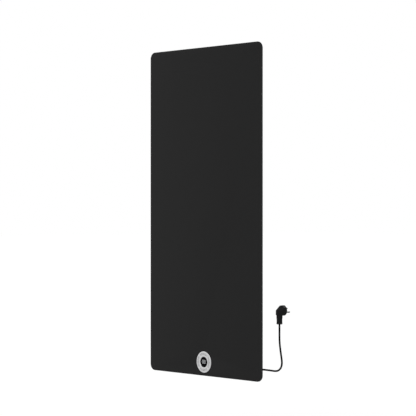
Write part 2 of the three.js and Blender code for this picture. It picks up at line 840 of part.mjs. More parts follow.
// Display lens, display module, key mat and control board
const lensFront = innerRimFront + lensDrop;
const lensFlangeFront = lensFront + lensThickness;
const lensBack = lensFlangeFront + lensFlangeThickness;
const displayFront = lensBack + seatGap;
const displayBack = displayFront + displayThickness;
const boardFront = displayBack + seatGap;
const boardBack = boardFront + boardThickness;
const boardRadius = sleeveRadius - sleeveWall - passGap;
{
  const lens = turned(
    [
      [0, lensFront],
      [0, lensBack],
      [lensFlangeRadius, lensBack],
      [lensFlangeRadius, lensFlangeFront],
      [windowRadius - passGap, lensFlangeFront],
      [windowRadius - passGap, lensFront],
      [0, lensFront],
    ],
    finePlanes,
  );
  place(heater, "display_lens", lens.translate(0, 0, controlHeight), looks.black);

  const halfDisplay = displaySize / 2;
  const display = roundedOutline(
    THREE.Shape,
    -halfDisplay,
    halfDisplay,
    controlHeight - halfDisplay,
    controlHeight + halfDisplay,
    displayCornerRadius,
  );
  place(heater, "display_module", slab(display, displayFront, displayBack), looks.black);

  const matBack = boardFront - seatGap;
  const matBaseFront = matBack - matBaseThickness;
  const domeFront = keyLipBack + keyTravel + seatGap / 2;
  const mat = turned(
    [
      [lensFlangeRadius + passGap, matBaseFront],
      [lensFlangeRadius + passGap, matBack],
      [boardRadius, matBack],
      [boardRadius, matBaseFront],
      [lensFlangeRadius + passGap, matBaseFront],
    ],
    mediumPlanes,
  ).translate(0, 0, controlHeight);
  const domes = keyNames.map((name, i) => {
    const angle = (i * Math.PI) / 2;
    const x = keyCentreRadius * Math.cos(angle);
    const z = controlHeight + keyCentreRadius * Math.sin(angle);
    return rod(domeRadius, domeFront, matBack, x, z);
  });
  place(heater, "key_mat", join([mat, ...domes]), looks.white);

  const board = rod(boardRadius, boardFront, boardBack, 0, controlHeight, mediumPlanes);
  place(heater, "control_board", board, looks.board);
}

// Clamp ring on the sleeve, and the housing that closes the control from behind
const housingFront = plateThickness + 2 * seatGap + clampRingThickness;
const housingBack = housingFront + housingLength;
const ribbonFront = sleeveLength + ribbonLag;
const ribbonStartX = boardRadius - ribbonInset;
{
  const ringFront = plateThickness + seatGap;
  const ringBack = ringFront + clampRingThickness;
  const ringInner = sleeveRadius + seatGap;
  const ring = turned(
    [
      [ringInner, ringFront],
      [ringInner, ringBack],
      [ringInner + clampRingWidth, ringBack],
      [ringInner + clampRingWidth, ringFront],
      [ringInner, ringFront],
    ],
    finePlanes,
  );
  place(heater, "control_clamp_ring", ring.translate(0, 0, controlHeight), looks.black);

  const spigotInner = housingSpigotRadius - housingWall;
  const cup = turned(
    [
      [0, housingBack - housingWall],
      [0, housingBack],
      [housingOuter, housingBack],
      [housingOuter, housingFront],
      [housingInner, housingFront],
      [housingInner, housingBack - housingWall],
      [housingSpigotRadius, housingBack - housingWall],
      [housingSpigotRadius, boardBack + seatGap],
      [spigotInner, boardBack + seatGap],
      [spigotInner, housingBack - housingWall],
      [0, housingBack - housingWall],
    ],
    finePlanes,
  ).translate(0, 0, controlHeight);
  const ribbonSlot = block(
    spigotInner - cutOverrun,
    housingOuter + cutOverrun,
    ribbonFront - passGap,
    ribbonFront + ribbonThickness + passGap,
    controlHeight - ribbonWidth / 2 - passGap,
    controlHeight + ribbonWidth / 2 + passGap,
  );
  const leadSlot = block(
    -housingOuter - cutOverrun,
    -spigotInner + cutOverrun,
    ribbonFront - passGap,
    ribbonFront + 2 * sensorLeadRadius + passGap,
    controlHeight - sensorLeadRadius - passGap,
    controlHeight + sensorLeadRadius + passGap,
  );
  place(heater, "control_housing", cut(cup, [ribbonSlot, leadSlot]), looks.black);
}

// Power module: base, lid, board and the parts on the board
const powerBoardLeft = moduleLeft + moduleWall + powerBoardMargin;
const powerBoardRight = moduleRight - moduleWall - powerBoardMargin;
const powerBoardBottom = moduleBottom + moduleWall + powerBoardMargin;
const powerBoardTop = moduleTop - moduleWall - powerBoardMargin;
{
  const baseFront = moduleFront + moduleWall + seatGap;
  const outside = roundedOutline(
    THREE.Shape, moduleLeft, moduleRight, moduleBottom, moduleTop, moduleCornerRadius,
  );
  const innerEdges = [
    moduleLeft + moduleWall,
    moduleRight - moduleWall,
    moduleBottom + moduleWall,
    moduleTop - moduleWall,
  ];
  const innerRadius = moduleCornerRadius - moduleWall;
  const inside = roundedOutline(THREE.Shape, ...innerEdges, innerRadius);
  const hollow = slab(inside, baseFront - cutOverrun, moduleBack - moduleWall);
  const stands = [powerBoardLeft, powerBoardRight].flatMap((x, i) =>
    [powerBoardBottom, powerBoardTop].map((z, j) => {
      const inX = x + (i ? -partMargin : partMargin);
      const inZ = z + (j ? -partMargin : partMargin);
      return rod(partMargin, powerBoardBack + seatGap, moduleBack - moduleWall / 2, inX, inZ, leadPlanes);
    }),
  );
  const shell = join([cut(slab(outside, baseFront, moduleBack), [hollow]), ...stands]);
  const cordRoom = cordRadius + passGap;
  const leadRoom = leadRadius + passGap;
  const slots = [
    block(
      moduleRight - moduleWall - cutOverrun,
      moduleRight + cutOverrun,
      cordExitDepth - cordRoom,
      cordExitDepth + cordRoom,
      cordHeight - cordRoom,
      cordHeight + cordRoom,
    ),
    block(
      moduleLeft - cutOverrun,
      moduleLeft + moduleWall + cutOverrun,
      ribbonFront - passGap,
      ribbonFront + ribbonThickness + passGap,
      controlHeight - ribbonWidth / 2 - passGap,
      controlHeight + ribbonWidth / 2 + passGap,
    ),
    block(
      leadXs[0] - leadRoom,
      leadXs[2] + leadRoom,
      ductDepth - leadRoom,
      ductDepth + leadRoom,
      moduleTop - moduleWall - cutOverrun,
      moduleTop + cutOverrun,
    ),
  ];
  place(heater, "power_module_base", cut(shell, slots), looks.black);

  const lipEdges = [
    innerEdges[0] + passGap,
    innerEdges[1] - passGap,
    innerEdges[2] + passGap,
    innerEdges[3] - passGap,
  ];
  const lip = roundedOutline(THREE.Shape, ...lipEdges, innerRadius);
  const lipHole = [
    lipEdges[0] + moduleWall,
    lipEdges[1] - moduleWall,
    lipEdges[2] + moduleWall,
    lipEdges[3] - moduleWall,
  ];
  lip.holes.push(roundedOutline(THREE.Path, ...lipHole, innerRadius / 2));
  const lid = join([
    slab(outside, moduleFront, moduleFront + moduleWall),
    slab(lip, moduleFront + moduleWall / 2, moduleFront + moduleWall + moduleLipDepth),
  ]);
  place(heater, "power_module_lid", lid, looks.black);
}

place(
  heater,
  "power_board",
  block(
    powerBoardLeft, powerBoardRight, powerBoardFront, powerBoardBack, powerBoardBottom, powerBoardTop,
  ),
  looks.board,
);
{
  const left = powerBoardLeft + 2 * partMargin;
  const relayBottom = powerBoardBottom + partMargin;
  const relayTop = relayBottom + relaySize.z;
  const relay = block(left, left + relaySize.x, partBack - relaySize.y, partBack, relayBottom, relayTop);
  place(heater, "relay", relay, looks.white);

  const transformerBottom = relayTop + partMargin;
  const transformer = block(
    left,
    left + transformerSize.x,
    partBack - transformerSize.y,
    partBack,
    transformerBottom,
    transformerBottom + transformerSize.z,
  );
  place(heater, "transformer", transformer, looks.mineral);
}

const terminalBottom = terminalTop - terminalSize.z;
{
  const half = terminalSize.x / 2;
  const front = partBack - terminalSize.y;
  const body = block(terminalX - half, terminalX + half, front, partBack, terminalBottom, terminalTop);
  const slots = leadXs.map((x) =>
    block(
      x - terminalSlotWidth / 2,
      x + terminalSlotWidth / 2,
      front - cutOverrun,
      front + terminalSlotDepth,
      terminalBottom + terminalSlotDepth,
      terminalTop - terminalSlotDepth,
    ),
  );
  place(heater, "terminal_block", cut(body, slots), looks.white);
}

// Ribbon from the control board to the power board
{
  const back = ribbonFront + ribbonThickness;
  const endX = powerBoardLeft + ribbonThickness;
  const profile = [
    [ribbonStartX, boardBack + seatGap],
    [ribbonStartX + ribbonThickness, boardBack + seatGap],
    [ribbonStartX + ribbonThickness, ribbonFront],
    [endX + ribbonThickness, ribbonFront],
    [endX + ribbonThickness, partBack],
    [endX, partBack],
    [endX, back],
    [ribbonStartX, back],
  ];
  const geometry = strip(profile, controlHeight - ribbonWidth / 2, controlHeight + ribbonWidth / 2);
  place(heater, "control_ribbon", geometry, looks.seal);
}

// Duct for the leads between the box and the casing
{
  const bottom = boxTop - boxWall - ductEnd;
  const top = casingBottom + casingSheet + ductEnd;
  const body = join([
    ductBlock(0, bottom, top),
    ductBlock(ductCollar, boxTop + seatGap + passGap, casingBottom - seatGap),
  ]);
  const hollow = ductBlock(-ductWall, bottom - cutOverrun, top + cutOverrun);
  place(heater, "cable_duct", cut(body, [hollow]), looks.rubber);
}

// Leads, drawn by the places that they join and a few slack points between
const leadStart = terminalTop + seatGap;
const leadDuct = casingBottom + casingSheet + 2 * ductEnd;
const spliceEnd = cableEndHeight - seatGap;
const spliceLow = spliceEnd - spliceLength;
const wiringMiddle = (spreaderBottom + spliceLow) / 2;
const bladeDepth = bladeFront + cutoutBladeThickness / 2;

function splicedLead(side, points) {
  const x = side * -cableStartX;
  const sleeve = new THREE.CylinderGeometry(spliceRadius, spliceRadius, spliceLength, leadPlanes);
  const depth = cableDepth + spliceRadius - cableRadius;
  sleeve.rotateX(Math.PI / 2).translate(x, depth, spliceLow + spliceLength / 2);
  return join([sleeve, lead(points)]);
}

{
  const left = cableStartX;
  const depth = cableDepth + spliceRadius - cableRadius;
  const bladeLeft = cutoutX - bladeReach - seatGap;
  const quarter = (bladeLeft - left) / 4;
  const points = [
    [left, depth, spliceEnd - spliceLength / 2],
    [left, depth, spliceLow],
    [left + quarter, depth, wiringMiddle],
    [left + 2 * quarter, depth, wiringMiddle],
    [left + 3 * quarter, bladeDepth, cutoutZ],
    [bladeLeft, bladeDepth, cutoutZ],
  ];
  place(heater, "element_lead_left", splicedLead(-1, points), looks.white);
}

{
  const right = -cableStartX;
  const depth = cableDepth + spliceRadius - cableRadius;
  const x = leadXs[2];
  const quarter = (right - x) / 4;
  const points = [
    [x, ductDepth, leadStart],
    [x, ductDepth, boxTop],
    [x, ductDepth, leadDuct],
    [x + quarter, (ductDepth + depth) / 2, wiringMiddle],
    [x + 3 * quarter, depth, wiringMiddle],
    [right, depth, spliceLow],
    [right, depth, spliceEnd - spliceLength / 2],
  ];
  place(heater, "element_lead_right", splicedLead(1, points), looks.white);
}

{
  const start = cutoutX + bladeReach + seatGap;
  const x = leadXs[0];
  const quarter = (x - start) / 4;
  const points = [
    [start, bladeDepth, cutoutZ],
    [start + quarter, bladeDepth, cutoutZ],
    [start + 2 * quarter, (bladeDepth + ductDepth) / 2, (cutoutZ + wiringMiddle) / 2],
    [start + 3 * quarter, ductDepth, wiringMiddle],
    [x, ductDepth, leadDuct],
    [x, ductDepth, boxTop],
    [x, ductDepth, leadStart],
  ];
  place(heater, "cutout_lead", lead(points), looks.white);
}

{
  const x = leadXs[1];
  const endX = studX - studWasherRadius - seatGap;
  const endDepth = studWasherBack - studWasherThickness / 2;
  const points = [
    [x, ductDepth, leadStart],
    [x, ductDepth, boxTop],
    [x, ductDepth, leadDuct],
    [(x + endX) / 2, endDepth, (leadDuct + studZ) / 2],
    [endX - leadSpacing, endDepth, studZ],
    [endX, endDepth, studZ],
  ];
  place(heater, "earth_lead", lead(points), looks.mineral);
}

// Room temperature sensor in the box's bottom wall, and its lead to the control
{
  const bottom = boxBottomInset - seatGap - sensorFlangeThickness;
  const profile = [
    [0, 0],
    [sensorFlangeRadius, 0],
    [sensorFlangeRadius, sensorFlangeThickness],
    [sensorRadius, sensorFlangeThickness],
    [sensorRadius, sensorLength],
    [0, sensorLength],
  ];
  const sensor = turned(profile, smallPlanes).rotateX(Math.PI / 2);
  place(heater, "room_sensor", sensor.translate(sensorX, sensorDepth, bottom), looks.white);

  const start = bottom + sensorLength + seatGap;
  const end = -housingSpigotRadius + housingWall;
  const depth = ribbonFront + sensorLeadRadius;
  const points = [
    [sensorX, sensorDepth, start],
    [sensorX, sensorDepth, (start + controlHeight) / 2],
    [(2 * sensorX - housingOuter) / 3, depth, controlHeight],
    [(sensorX - 2 * housingOuter) / 3, depth, controlHeight],
    [-housingOuter, depth, controlHeight],
    [end, depth, controlHeight],
  ];
  place(heater, "sensor_lead", lead(points, sensorLeadRadius), looks.black);
}

// Cord gland with its tapered strain relief, the clamp, and the cord inside the box
const glandTip = casingHalf + seatGap + glandFlangeThickness + glandLength;
{
  const wallOut = casingHalf + seatGap;
  const wallIn = casingHalf - boxWall - seatGap;
  const profile = [
    [0, wallIn - glandInnerThickness],
    [glandFlangeRadius, wallIn - glandInnerThickness],
    [glandFlangeRadius, wallIn],
    [glandNeckRadius, wallIn],
    [glandNeckRadius, wallOut],
    [glandFlangeRadius, wallOut],
    [glandFlangeRadius, wallOut + glandFlangeThickness],
    [glandRootRadius, wallOut + glandFlangeThickness],
    [glandTipRadius, glandTip],
    [0, glandTip],
  ];
  const gland = turned(profile, mediumPlanes).rotateZ(-Math.PI / 2);
  place(heater, "cord_gland", gland.translate(0, cordExitDepth, cordHeight), looks.rubber);

  const bridgeBack = cordExitDepth - cordRadius - passGap;
  const bridge = block(
    cordClampX - clampWidth / 2,
    cordClampX + clampWidth / 2,
    bridgeBack - clampSheet,
    bridgeBack,
    cordHeight - clampHalf,
    cordHeight + clampHalf,
  );
  const legs = clampLegs(0, bridgeBack - clampSheet, clampLegBack);
  place(heater, "cord_clamp", join([bridge, ...legs]), looks.black);

  const innerEnd = wallIn - glandInnerThickness - seatGap;
  const innerDepth = partBack - terminalSize.y / 2;
  const points = [
    [innerEnd, cordExitDepth, cordHeight],
    [cordClampX, cordExitDepth, cordHeight],
    [moduleRight, cordExitDepth, cordHeight],
    [(moduleRight + terminalX) / 2, innerDepth, cordHeight],
    [terminalX, innerDepth, (cordHeight + terminalBottom) / 2],
    [terminalX, innerDepth, terminalBottom - seatGap],
  ];
  place(heater, "mains_lead", tube(smoothRoute(points), leadSteps, cordRadius, cordPlanes), looks.black);
}

// Free cord from the gland to the plug, along points chosen by hand
const handleBottom = plugHeight - handleDrop;
const handleDepth = standOff - handleFromFace;
{
  const cordRoute = [
    [glandTip + seatGap, cordExitDepth, cordHeight],
    [268, 23.1, 42.2],
    [280, 23.7, 42],
    [293, 24.9, 41.7],
    [306, 26.4, 41.4],
    [319, 27.9, 40.9],
    [330, 29.1, 40.4],
    [338.8, 29.9, 40.5],
    [349.1, 30.3, 42.4],
    [358.3, 30.6, 47.4],
    [365.3, 30.7, 55.4],
    [368.9, 30.8, 65.2],
    [369.4, 30.8, 75.7],
    [368.4, 30.8, 83.1],
    [366.4, 30.8, 93.5],
    [364, 30.8, 106],
    [361.6, 30.8, 119],
    [359.4, 30.8, 132.5],
    [358, 30.8, 147],
    [357.5, 30.8, 164],
    [357.5, 30.8, 184],
    [plugX, handleDepth, handleBottom - seatGap],
  ];
  place(heater, "power_cord", tube(smoothRoute(cordRoute), cordSteps, cordRadius, cordPlanes), looks.black);
}

// Angled plug: a round body that slopes to a narrow flat back, a handle that points down, pins and
// an earth clip, all of them turned a little round the handle's upright axis
const faceDepth = handleFromFace;

function turnPlug(geometry) {
  return geometry.rotateZ(plugTurn).translate(plugX, handleDepth, plugHeight);
}

function plugSlope() {
  const corners = (outline, depth) =>
    outline.getPoints(cornerSteps).map((point) => new THREE.Vector3(point.x, depth, point.y));
  const back = (inset) =>
    roundedOutline(
      THREE.Shape,
      inset - plugBackHalfWidth,
      plugBackHalfWidth - inset,
      inset - plugBackDrop,
      plugBackRise - inset,
      plugBackRadius - inset,
    );
  const discBack = faceDepth - plugDiscThickness;
  const rim = new THREE.Vector2(plugRadius, 0);
  const points = [
    ...corners(back(plugEdgeRadius), faceDepth - plugDepth),
    ...corners(back(0), faceDepth - plugDepth + plugEdgeRadius),
  ];
  for (let i = 0; i < mediumPlanes; i++) {
    const place = rim.clone().rotateAround(new THREE.Vector2(), (2 * Math.PI * i) / mediumPlanes);
    points.push(new THREE.Vector3(place.x, discBack, place.y));
    points.push(new THREE.Vector3(place.x, faceDepth - plugEdgeRadius, place.y));
    place.setLength(plugRadius - plugEdgeRadius);
    points.push(new THREE.Vector3(place.x, faceDepth, place.y));
  }
  return new ConvexGeometry(points);
}

{
  const body = plugSlope();
  const shoulder = handleDrop - handleShoulderDrop;
  const handleProfile = [
    [0, 0],
    [handleRadius - handleEdge, 0],
    [handleCollarRadius, handleEdge],
    [handleCollarRadius, handleCollarHeight],
    [handleRadius, handleCollarHeight + handleEdge],
    [handleRadius, shoulder],
    [handleShoulderRadius, shoulder + handleEdge],
    [handleShoulderRadius, handleDrop],
    [0, handleDrop],
  ];
  const handle = turned(handleProfile, mediumPlanes).rotateX(Math.PI / 2);
  handle.translate(0, 0, -handleDrop);

  const pinPlaces = [-1, 1].map((side) => [
    (side * pinSpacing * Math.cos(pinLineTilt)) / 2,
    (side * pinSpacing * Math.sin(pinLineTilt)) / 2,
  ]);
  const pinHoles = pinPlaces.map(([x, z]) =>
    bore(pinRadius + seatGap, faceDepth - pinRoot - seatGap, faceDepth + cutOverrun, x, z),
  );

  const earthTurn = -pinLineTilt - Math.PI / 2;
  const bridgeFront = faceDepth - earthLength - earthThickness;
  const halfEarth = earthWidth / 2;
  const earthOuter = plugRadius - seatGap;
  const earthInner = earthOuter - earthThickness;
  const turnEarth = (geometry) => geometry.rotateY(earthTurn);
  const strips = [-1, 1].map((side) => {
    const edges = [side * earthInner, side * earthOuter].sort((a, b) => a - b);
    return block(...edges, bridgeFront, faceDepth - earthThickness, -halfEarth, halfEarth);
  });
  const bridge = block(
    -earthOuter, earthOuter, bridgeFront, bridgeFront + earthThickness, -halfEarth, halfEarth,
  );
  const grooves = [-1, 1].map((side) => {
    const reach = plugRadius + cutOverrun;
    const edges = [side * (earthInner - seatGap), side * reach].sort((a, b) => a - b);
    const roomFront = bridgeFront - seatGap;
    return block(...edges, roomFront, faceDepth + cutOverrun, -halfEarth - seatGap, halfEarth + seatGap);
  });
  const tunnel = block(
    -earthOuter,
    earthOuter,
    bridgeFront - seatGap,
    bridgeFront + earthThickness + seatGap,
    -halfEarth - seatGap,
    halfEarth + seatGap,
  );
  const tools = [...pinHoles, ...[...grooves, tunnel].map(turnEarth)];
  place(heater, "plug_body", turnPlug(cut(join([body, handle]), tools)), looks.black);
  place(heater, "plug_earth_clip", turnPlug(turnEarth(join([...strips, bridge]))), looks.steel);

  pinPlaces.forEach(([x, z], i) => {
    const pinProfile = [
      [0, -pinRoot],
      [pinRadius, -pinRoot],
      [pinRadius, pinLength - pinRadius],
      [pinRadius / Math.SQRT2, pinLength - pinRadius + pinRadius / Math.SQRT2],
      [0, pinLength],
    ];
    const pin = turned(pinProfile, smallPlanes).translate(x, faceDepth, z);
    place(heater, `plug_pin_${i + 1}`, turnPlug(pin), looks.steel);
  });
}

// Hanger rail riveted to the casing: it hooks over the wall rail's lip
const hookBottom = lipTop + seatGap - hookDrop;
{
  const front = casingBack + seatGap;
  const back = standOff - hookFromWall;
  const web = railHeight + lipTop + seatGap;
  const profile = [
    [front, railHeight - railHalfHeight],
    [front + railSheet, railHeight - railHalfHeight],
    [front + railSheet, web],
    [back - railSheet, web],
    [back - railSheet, railHeight + hookBottom],
    [back, railHeight + hookBottom],
    [back, web + railSheet],
    [front, web + railSheet],
  ];
  const hanger = rail(profile, -hangerLength / 2, hangerLength / 2);
  const holes = rivetXs.map((x) =>
    bore(rivetShankRadius + passGap, front - cutOverrun, front + railSheet + cutOverrun, x, rivetHeight),
  );
  place(heater, "hanger_rail", cut(hanger, holes), looks.steel);

  rivetXs.forEach((x, i) => {
    const inner = casingInside - seatGap;
    const outer = front + railSheet + seatGap;
    const rivet = turned(
      [
        [0, inner - rivetHeadHeight],
        [rivetHeadRadius, inner - rivetHeadHeight],
        [rivetHeadRadius, inner],
        [rivetShankRadius, inner],
        [rivetShankRadius, outer],
        [rivetHeadRadius, outer],
        [rivetHeadRadius / 2, outer + rivetHeadHeight],
        [0, outer + rivetHeadHeight],
      ],
      smallPlanes,
    );
    place(heater, `hanger_rivet_${i + 1}`, rivet.translate(x, 0, rivetHeight), looks.aluminium);
  });
}

// Rubber buffers between the box and the wall
[-1, 1].forEach((side) => {
  const word = side < 0 ? "left" : "right";
  const lipBack = boxInside - seatGap;
  const buffer = turned(
    [
      [0, lipBack - bufferLipThickness],
      [bufferStemRadius, lipBack - bufferLipThickness],
      [bufferLipRadius, lipBack],
      [bufferStemRadius, lipBack],
      [bufferStemRadius, casingBack + seatGap],
      [bufferRadius, casingBack + seatGap],
      [bufferRadius, standOff],
      [0, standOff],
    ],
    smallPlanes * 2,
  );
  place(heater, `wall_buffer_${word}`, buffer.translate(side * bufferX, 0, bufferHeight), looks.rubber);
});

// Wall rail: a flange on the wall and an upstanding lip, with holes for the wall screws
{
  const lipBack = -hookFromWall - railSheet - passGap;
  const lipFront = lipBack - railSheet;
  const profile = [
    [-railSheet, -railHalfHeight],
    [0, -railHalfHeight],
    [0, railHalfHeight],
    [lipBack, railHalfHeight],
    [lipBack, lipTop],
    [lipFront, lipTop],
    [lipFront, railHalfHeight - railSheet],
    [-railSheet, railHalfHeight - railSheet],
  ];
  const body = rail(profile, -railLength / 2, railLength / 2);
  const outerX = railLength / 2 - railHoleInset;
  const holes = [-outerX, -outerX + railHolePitch, outerX - railHolePitch, outerX].map((x) =>
    bore(railHoleRadius, -railSheet - cutOverrun, cutOverrun, x, 0),
  );
  place(radiator, "wall_rail", cut(body, holes), looks.steel);
}

export default radiator;
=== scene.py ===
import json
import math

import bmesh
import bpy
from mathutils import Matrix, Vector


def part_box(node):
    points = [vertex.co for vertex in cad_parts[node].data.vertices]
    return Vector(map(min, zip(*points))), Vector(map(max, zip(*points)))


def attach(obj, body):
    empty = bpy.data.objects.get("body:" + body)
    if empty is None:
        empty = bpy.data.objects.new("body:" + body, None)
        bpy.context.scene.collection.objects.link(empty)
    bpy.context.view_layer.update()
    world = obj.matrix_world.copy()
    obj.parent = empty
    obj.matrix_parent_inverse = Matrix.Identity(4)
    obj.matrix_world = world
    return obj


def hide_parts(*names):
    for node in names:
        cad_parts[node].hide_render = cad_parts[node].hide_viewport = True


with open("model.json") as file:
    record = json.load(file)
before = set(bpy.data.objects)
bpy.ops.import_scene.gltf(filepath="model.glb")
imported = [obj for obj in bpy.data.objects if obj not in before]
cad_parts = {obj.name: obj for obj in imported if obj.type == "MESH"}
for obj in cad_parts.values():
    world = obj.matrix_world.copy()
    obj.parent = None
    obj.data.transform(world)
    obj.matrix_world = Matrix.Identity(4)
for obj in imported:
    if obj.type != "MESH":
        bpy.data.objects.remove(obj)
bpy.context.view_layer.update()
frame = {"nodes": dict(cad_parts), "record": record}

# Shapes are worked out in the heater's own millimetres: x to the right, y the depth behind the plate's
# front face, z the height above its bottom edge. toRow takes them to their place in metres.
mm = 0.001
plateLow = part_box("front_plate")[0]
origin = Vector((0, plateLow.y, plateLow.z))
toRow = Matrix.Translation(origin) @ Matrix.Scale(mm, 4)
quarterTurn = math.pi / 2
fullTurn = 2 * math.pi
sides = ("left", "right")
ways = (-1, 1)
overrun = 1  # how far a cutting tool runs past the wall that it cuts

# facets in one full turn: more of them the larger a piece is and the nearer it is seen
facets = {
    "wire": 12,
    "grip": 16,
    "drill": 20,
    "hole": 24,
    "small": 32,
    "head": 40,
    "cap": 48,
    "handle": 64,
    "board": 96,
    "window": 128,
    "dial": 144,
}


def boxOf(node):
    low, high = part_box(node)
    return (low - origin) / mm, (high - origin) / mm


def middleOf(node):
    low, high = boxOf(node)
    return (low + high) / 2


def middlesOf(nodes):
    return [middleOf(node) for node in nodes]


def reachOf(node):
    # half the width of a round piece
    low, high = boxOf(node)
    return (high.x - low.x) / 2


def edgesOf(node, inset=0):
    # left, right, bottom and top
    low, high = boxOf(node)
    return low.x + inset, high.x - inset, low.z + inset, high.z - inset


def link(name, data):
    solid = bpy.data.objects.new(name, data)
    bpy.context.scene.collection.objects.link(solid)
    return solid


# Nodes: a wire is a socket that takes part in sums, and a sheet adds the nodes of one tree


def mathNode(operation, reflected=False):
    def act(wire, other):
        values = (other, wire) if reflected else (wire, other)
        return wire.sheet.maths(operation, *values)

    return act


class Wire:
    def __init__(self, sheet, socket):
        self.sheet = sheet
        self.socket = socket

    __add__, __radd__ = mathNode("ADD"), mathNode("ADD", True)
    __sub__, __rsub__ = mathNode("SUBTRACT"), mathNode("SUBTRACT", True)
    __mul__, __rmul__ = mathNode("MULTIPLY"), mathNode("MULTIPLY", True)
    __pow__, __rpow__ = mathNode("POWER"), mathNode("POWER", True)
    __mod__, __rmod__ = mathNode("PINGPONG"), mathNode("PINGPONG", True)  # a zigzag, for ridges and laps

    def __abs__(self):
        return self.sheet.maths("ABSOLUTE", self)


class Sheet:
    def __init__(self, tree):
        self.tree = tree
        self.tree.nodes.clear()

    def add(self, kind, settings=None, feeds=None, out=0):
        node = self.tree.nodes.new(kind)
        for key, value in (settings or {}).items():
            setattr(node, key, value)
        for key, value in (feeds or {}).items():
            if isinstance(value, Wire):
                self.tree.links.new(value.socket, node.inputs[key])
            else:
                node.inputs[key].default_value = value
        return Wire(self, node.outputs[out]) if len(node.outputs) else None

    def maths(self, operation, *values):
        return self.add("ShaderNodeMath", {"operation": operation}, dict(enumerate(values)))

    def rays(self, *kinds):
        # 1 for the kinds of ray that are named, and 0 for the others
        seen, *rest = [self.add("ShaderNodeLightPath", out=f"Is {kind} Ray") for kind in kinds]
        for ray in rest:
            seen = self.maths("MAXIMUM", seen, ray)
        return seen


def grey(level):
    return (level, level, level, 1)


# Camera

cameraSizes = {"place": (4.2983, -3.9888, -0.4073), "azimuth": 47.37, "lens": 138.11}


def makeCamera():
    lens = bpy.data.cameras.new("camera")
    lens.lens = cameraSizes["lens"]
    camera = link("camera", lens)
    camera.location = cameraSizes["place"]
    camera.rotation_euler = (quarterTurn, 0, math.radians(cameraSizes["azimuth"]))
    bpy.context.scene.camera = camera


# Light, floor and background

lightSizes = {
    "ambient": 0.62,
    "keyStrength": 1.35,
    "keySpread": 35,
    "keyTurn": (52, 0, 28),
    "fillStrength": 0.5,
    "fillSpread": 70,
    "fillTurn": (70, 0, -62),
    "floorDrop": 0.35,
    "floorHalf": 40,
    "floorPale": 0.8,
    "floorShadow": 0.3,
    "floorGlow": 0.74,
}


def makeSun(name):
    sun = bpy.data.lights.new(name + "Light", "SUN")
    sun.energy = lightSizes[name + "Strength"]
    sun.angle = math.radians(lightSizes[name + "Spread"])
    lamp = link(name + "Light", sun)
    lamp.rotation_euler = [math.radians(angle) for angle in lightSizes[name + "Turn"]]


def makeWorld():
    # a plain level on the object, and white where the camera, metal or glass sees the background
    world = bpy.data.worlds.new("studio")
    world.use_nodes = True
    bpy.context.scene.world = world
    sheet = Sheet(world.node_tree)
    seen = sheet.rays("Camera", "Glossy", "Transmission")
    feeds = {"Value": seen, "To Min": lightSizes["ambient"], "To Max": 1}
    strength = sheet.add("ShaderNodeMapRange", {}, feeds)
    background = sheet.add("ShaderNodeBackground", {}, {"Color": grey(1), "Strength": strength})
    sheet.add("ShaderNodeOutputWorld", {}, {"Surface": background})


def makeFloor():
    # pale to the object's light, and near white with a soft shadow to the camera and metal
    half, level = lightSizes["floorHalf"], plateLow.z - lightSizes["floorDrop"]
    mesh = bpy.data.meshes.new("floor")
    corners = [(-half, -half, level), (half, -half, level), (half, half, level), (-half, half, level)]
    mesh.from_pydata(corners, [], [(0, 1, 2, 3)])
    material = bpy.data.materials.new("floor")
    material.use_nodes = True
    sheet = Sheet(material.node_tree)
    pale = sheet.add("ShaderNodeBsdfDiffuse", {}, {"Color": grey(lightSizes["floorPale"])})
    shadow = sheet.add("ShaderNodeBsdfDiffuse", {}, {"Color": grey(lightSizes["floorShadow"])})
    glow = sheet.add("ShaderNodeEmission", {}, {"Color": grey(lightSizes["floorGlow"])})
    both = sheet.add("ShaderNodeAddShader", {}, {0: shadow, 1: glow})
    choice = sheet.add("ShaderNodeMixShader", {}, {0: sheet.rays("Camera", "Glossy"), 1: pale, 2: both})
    sheet.add("ShaderNodeOutputMaterial", {}, {"Surface": choice})
    mesh.materials.append(material)
    link("floor", mesh)


bpy.context.scene.view_settings.view_transform = "Standard"
makeCamera()
makeWorld()
makeSun("key")
makeSun("fill")
makeFloor()
print("camera, lights and floor are in place")


# Materials: their colours, and the paint that they are mixed with

micron = 0.000001
colours = {
    "glassFace": (0.016, 0.016, 0.0161),
    "glassEdge": (0.03, 0.031, 0.031),
    "bezelSilver": (0.525, 0.525, 0.53),
    "keySilver": (0.43, 0.43, 0.436),
    "window": (0.0012, 0.0012, 0.0014),
    "segmentGlow": (0.5, 0.51, 0.52),
    "segmentFilm": (0.08, 0.08, 0.085),
    "symbolInk": (0.12, 0.12, 0.125),
    "zinc": (0.52, 0.53, 0.54),
    "powderCoat": (0.046, 0.046, 0.049),
    "aluminium": (0.72, 0.73, 0.74),
    # painted shade: nickel darkened to stand in for the shade on the plug's pins and earth clip
    "darkNickel": (0.08, 0.08, 0.084),
    "brass": (0.6, 0.44, 0.17),
    "ribbon": (0.42, 0.42, 0.42),
    "coreSteel": (0.16, 0.15, 0.145),
    "solderMask": (0.012, 0.075, 0.03),
    "maskOnTrack": (0.03, 0.16, 0.065),
    "tinnedPad": (0.55, 0.5, 0.4),
    "coilTape": (0.62, 0.43, 0.08),
    "wool": (0.55, 0.47, 0.28),
    "woolBinder": (0.4, 0.3, 0.13),
    "earthGreen": (0.04, 0.2, 0.03),
    "earthYellow": (0.72, 0.62, 0.03),
    "blackPlastic": (0.012, 0.012, 0.013),
    "boxPlastic": (0.04, 0.04, 0.042),
    "plugPlastic": (0.0088, 0.0088, 0.0092),
    "whitePlastic": (0.68, 0.68, 0.65),
    "whiteWire": (0.62, 0.62, 0.6),
    "brownWire": (0.13, 0.05, 0.02),
    "blueWire": (0.02, 0.09, 0.3),
    "blackRubber": (0.014, 0.014, 0.015),
    "cordSheath": (0.0036, 0.0036, 0.0039),
    "greySilicone": (0.16, 0.16, 0.17),
    "redSilicone": (0.3, 0.04, 0.025),
}


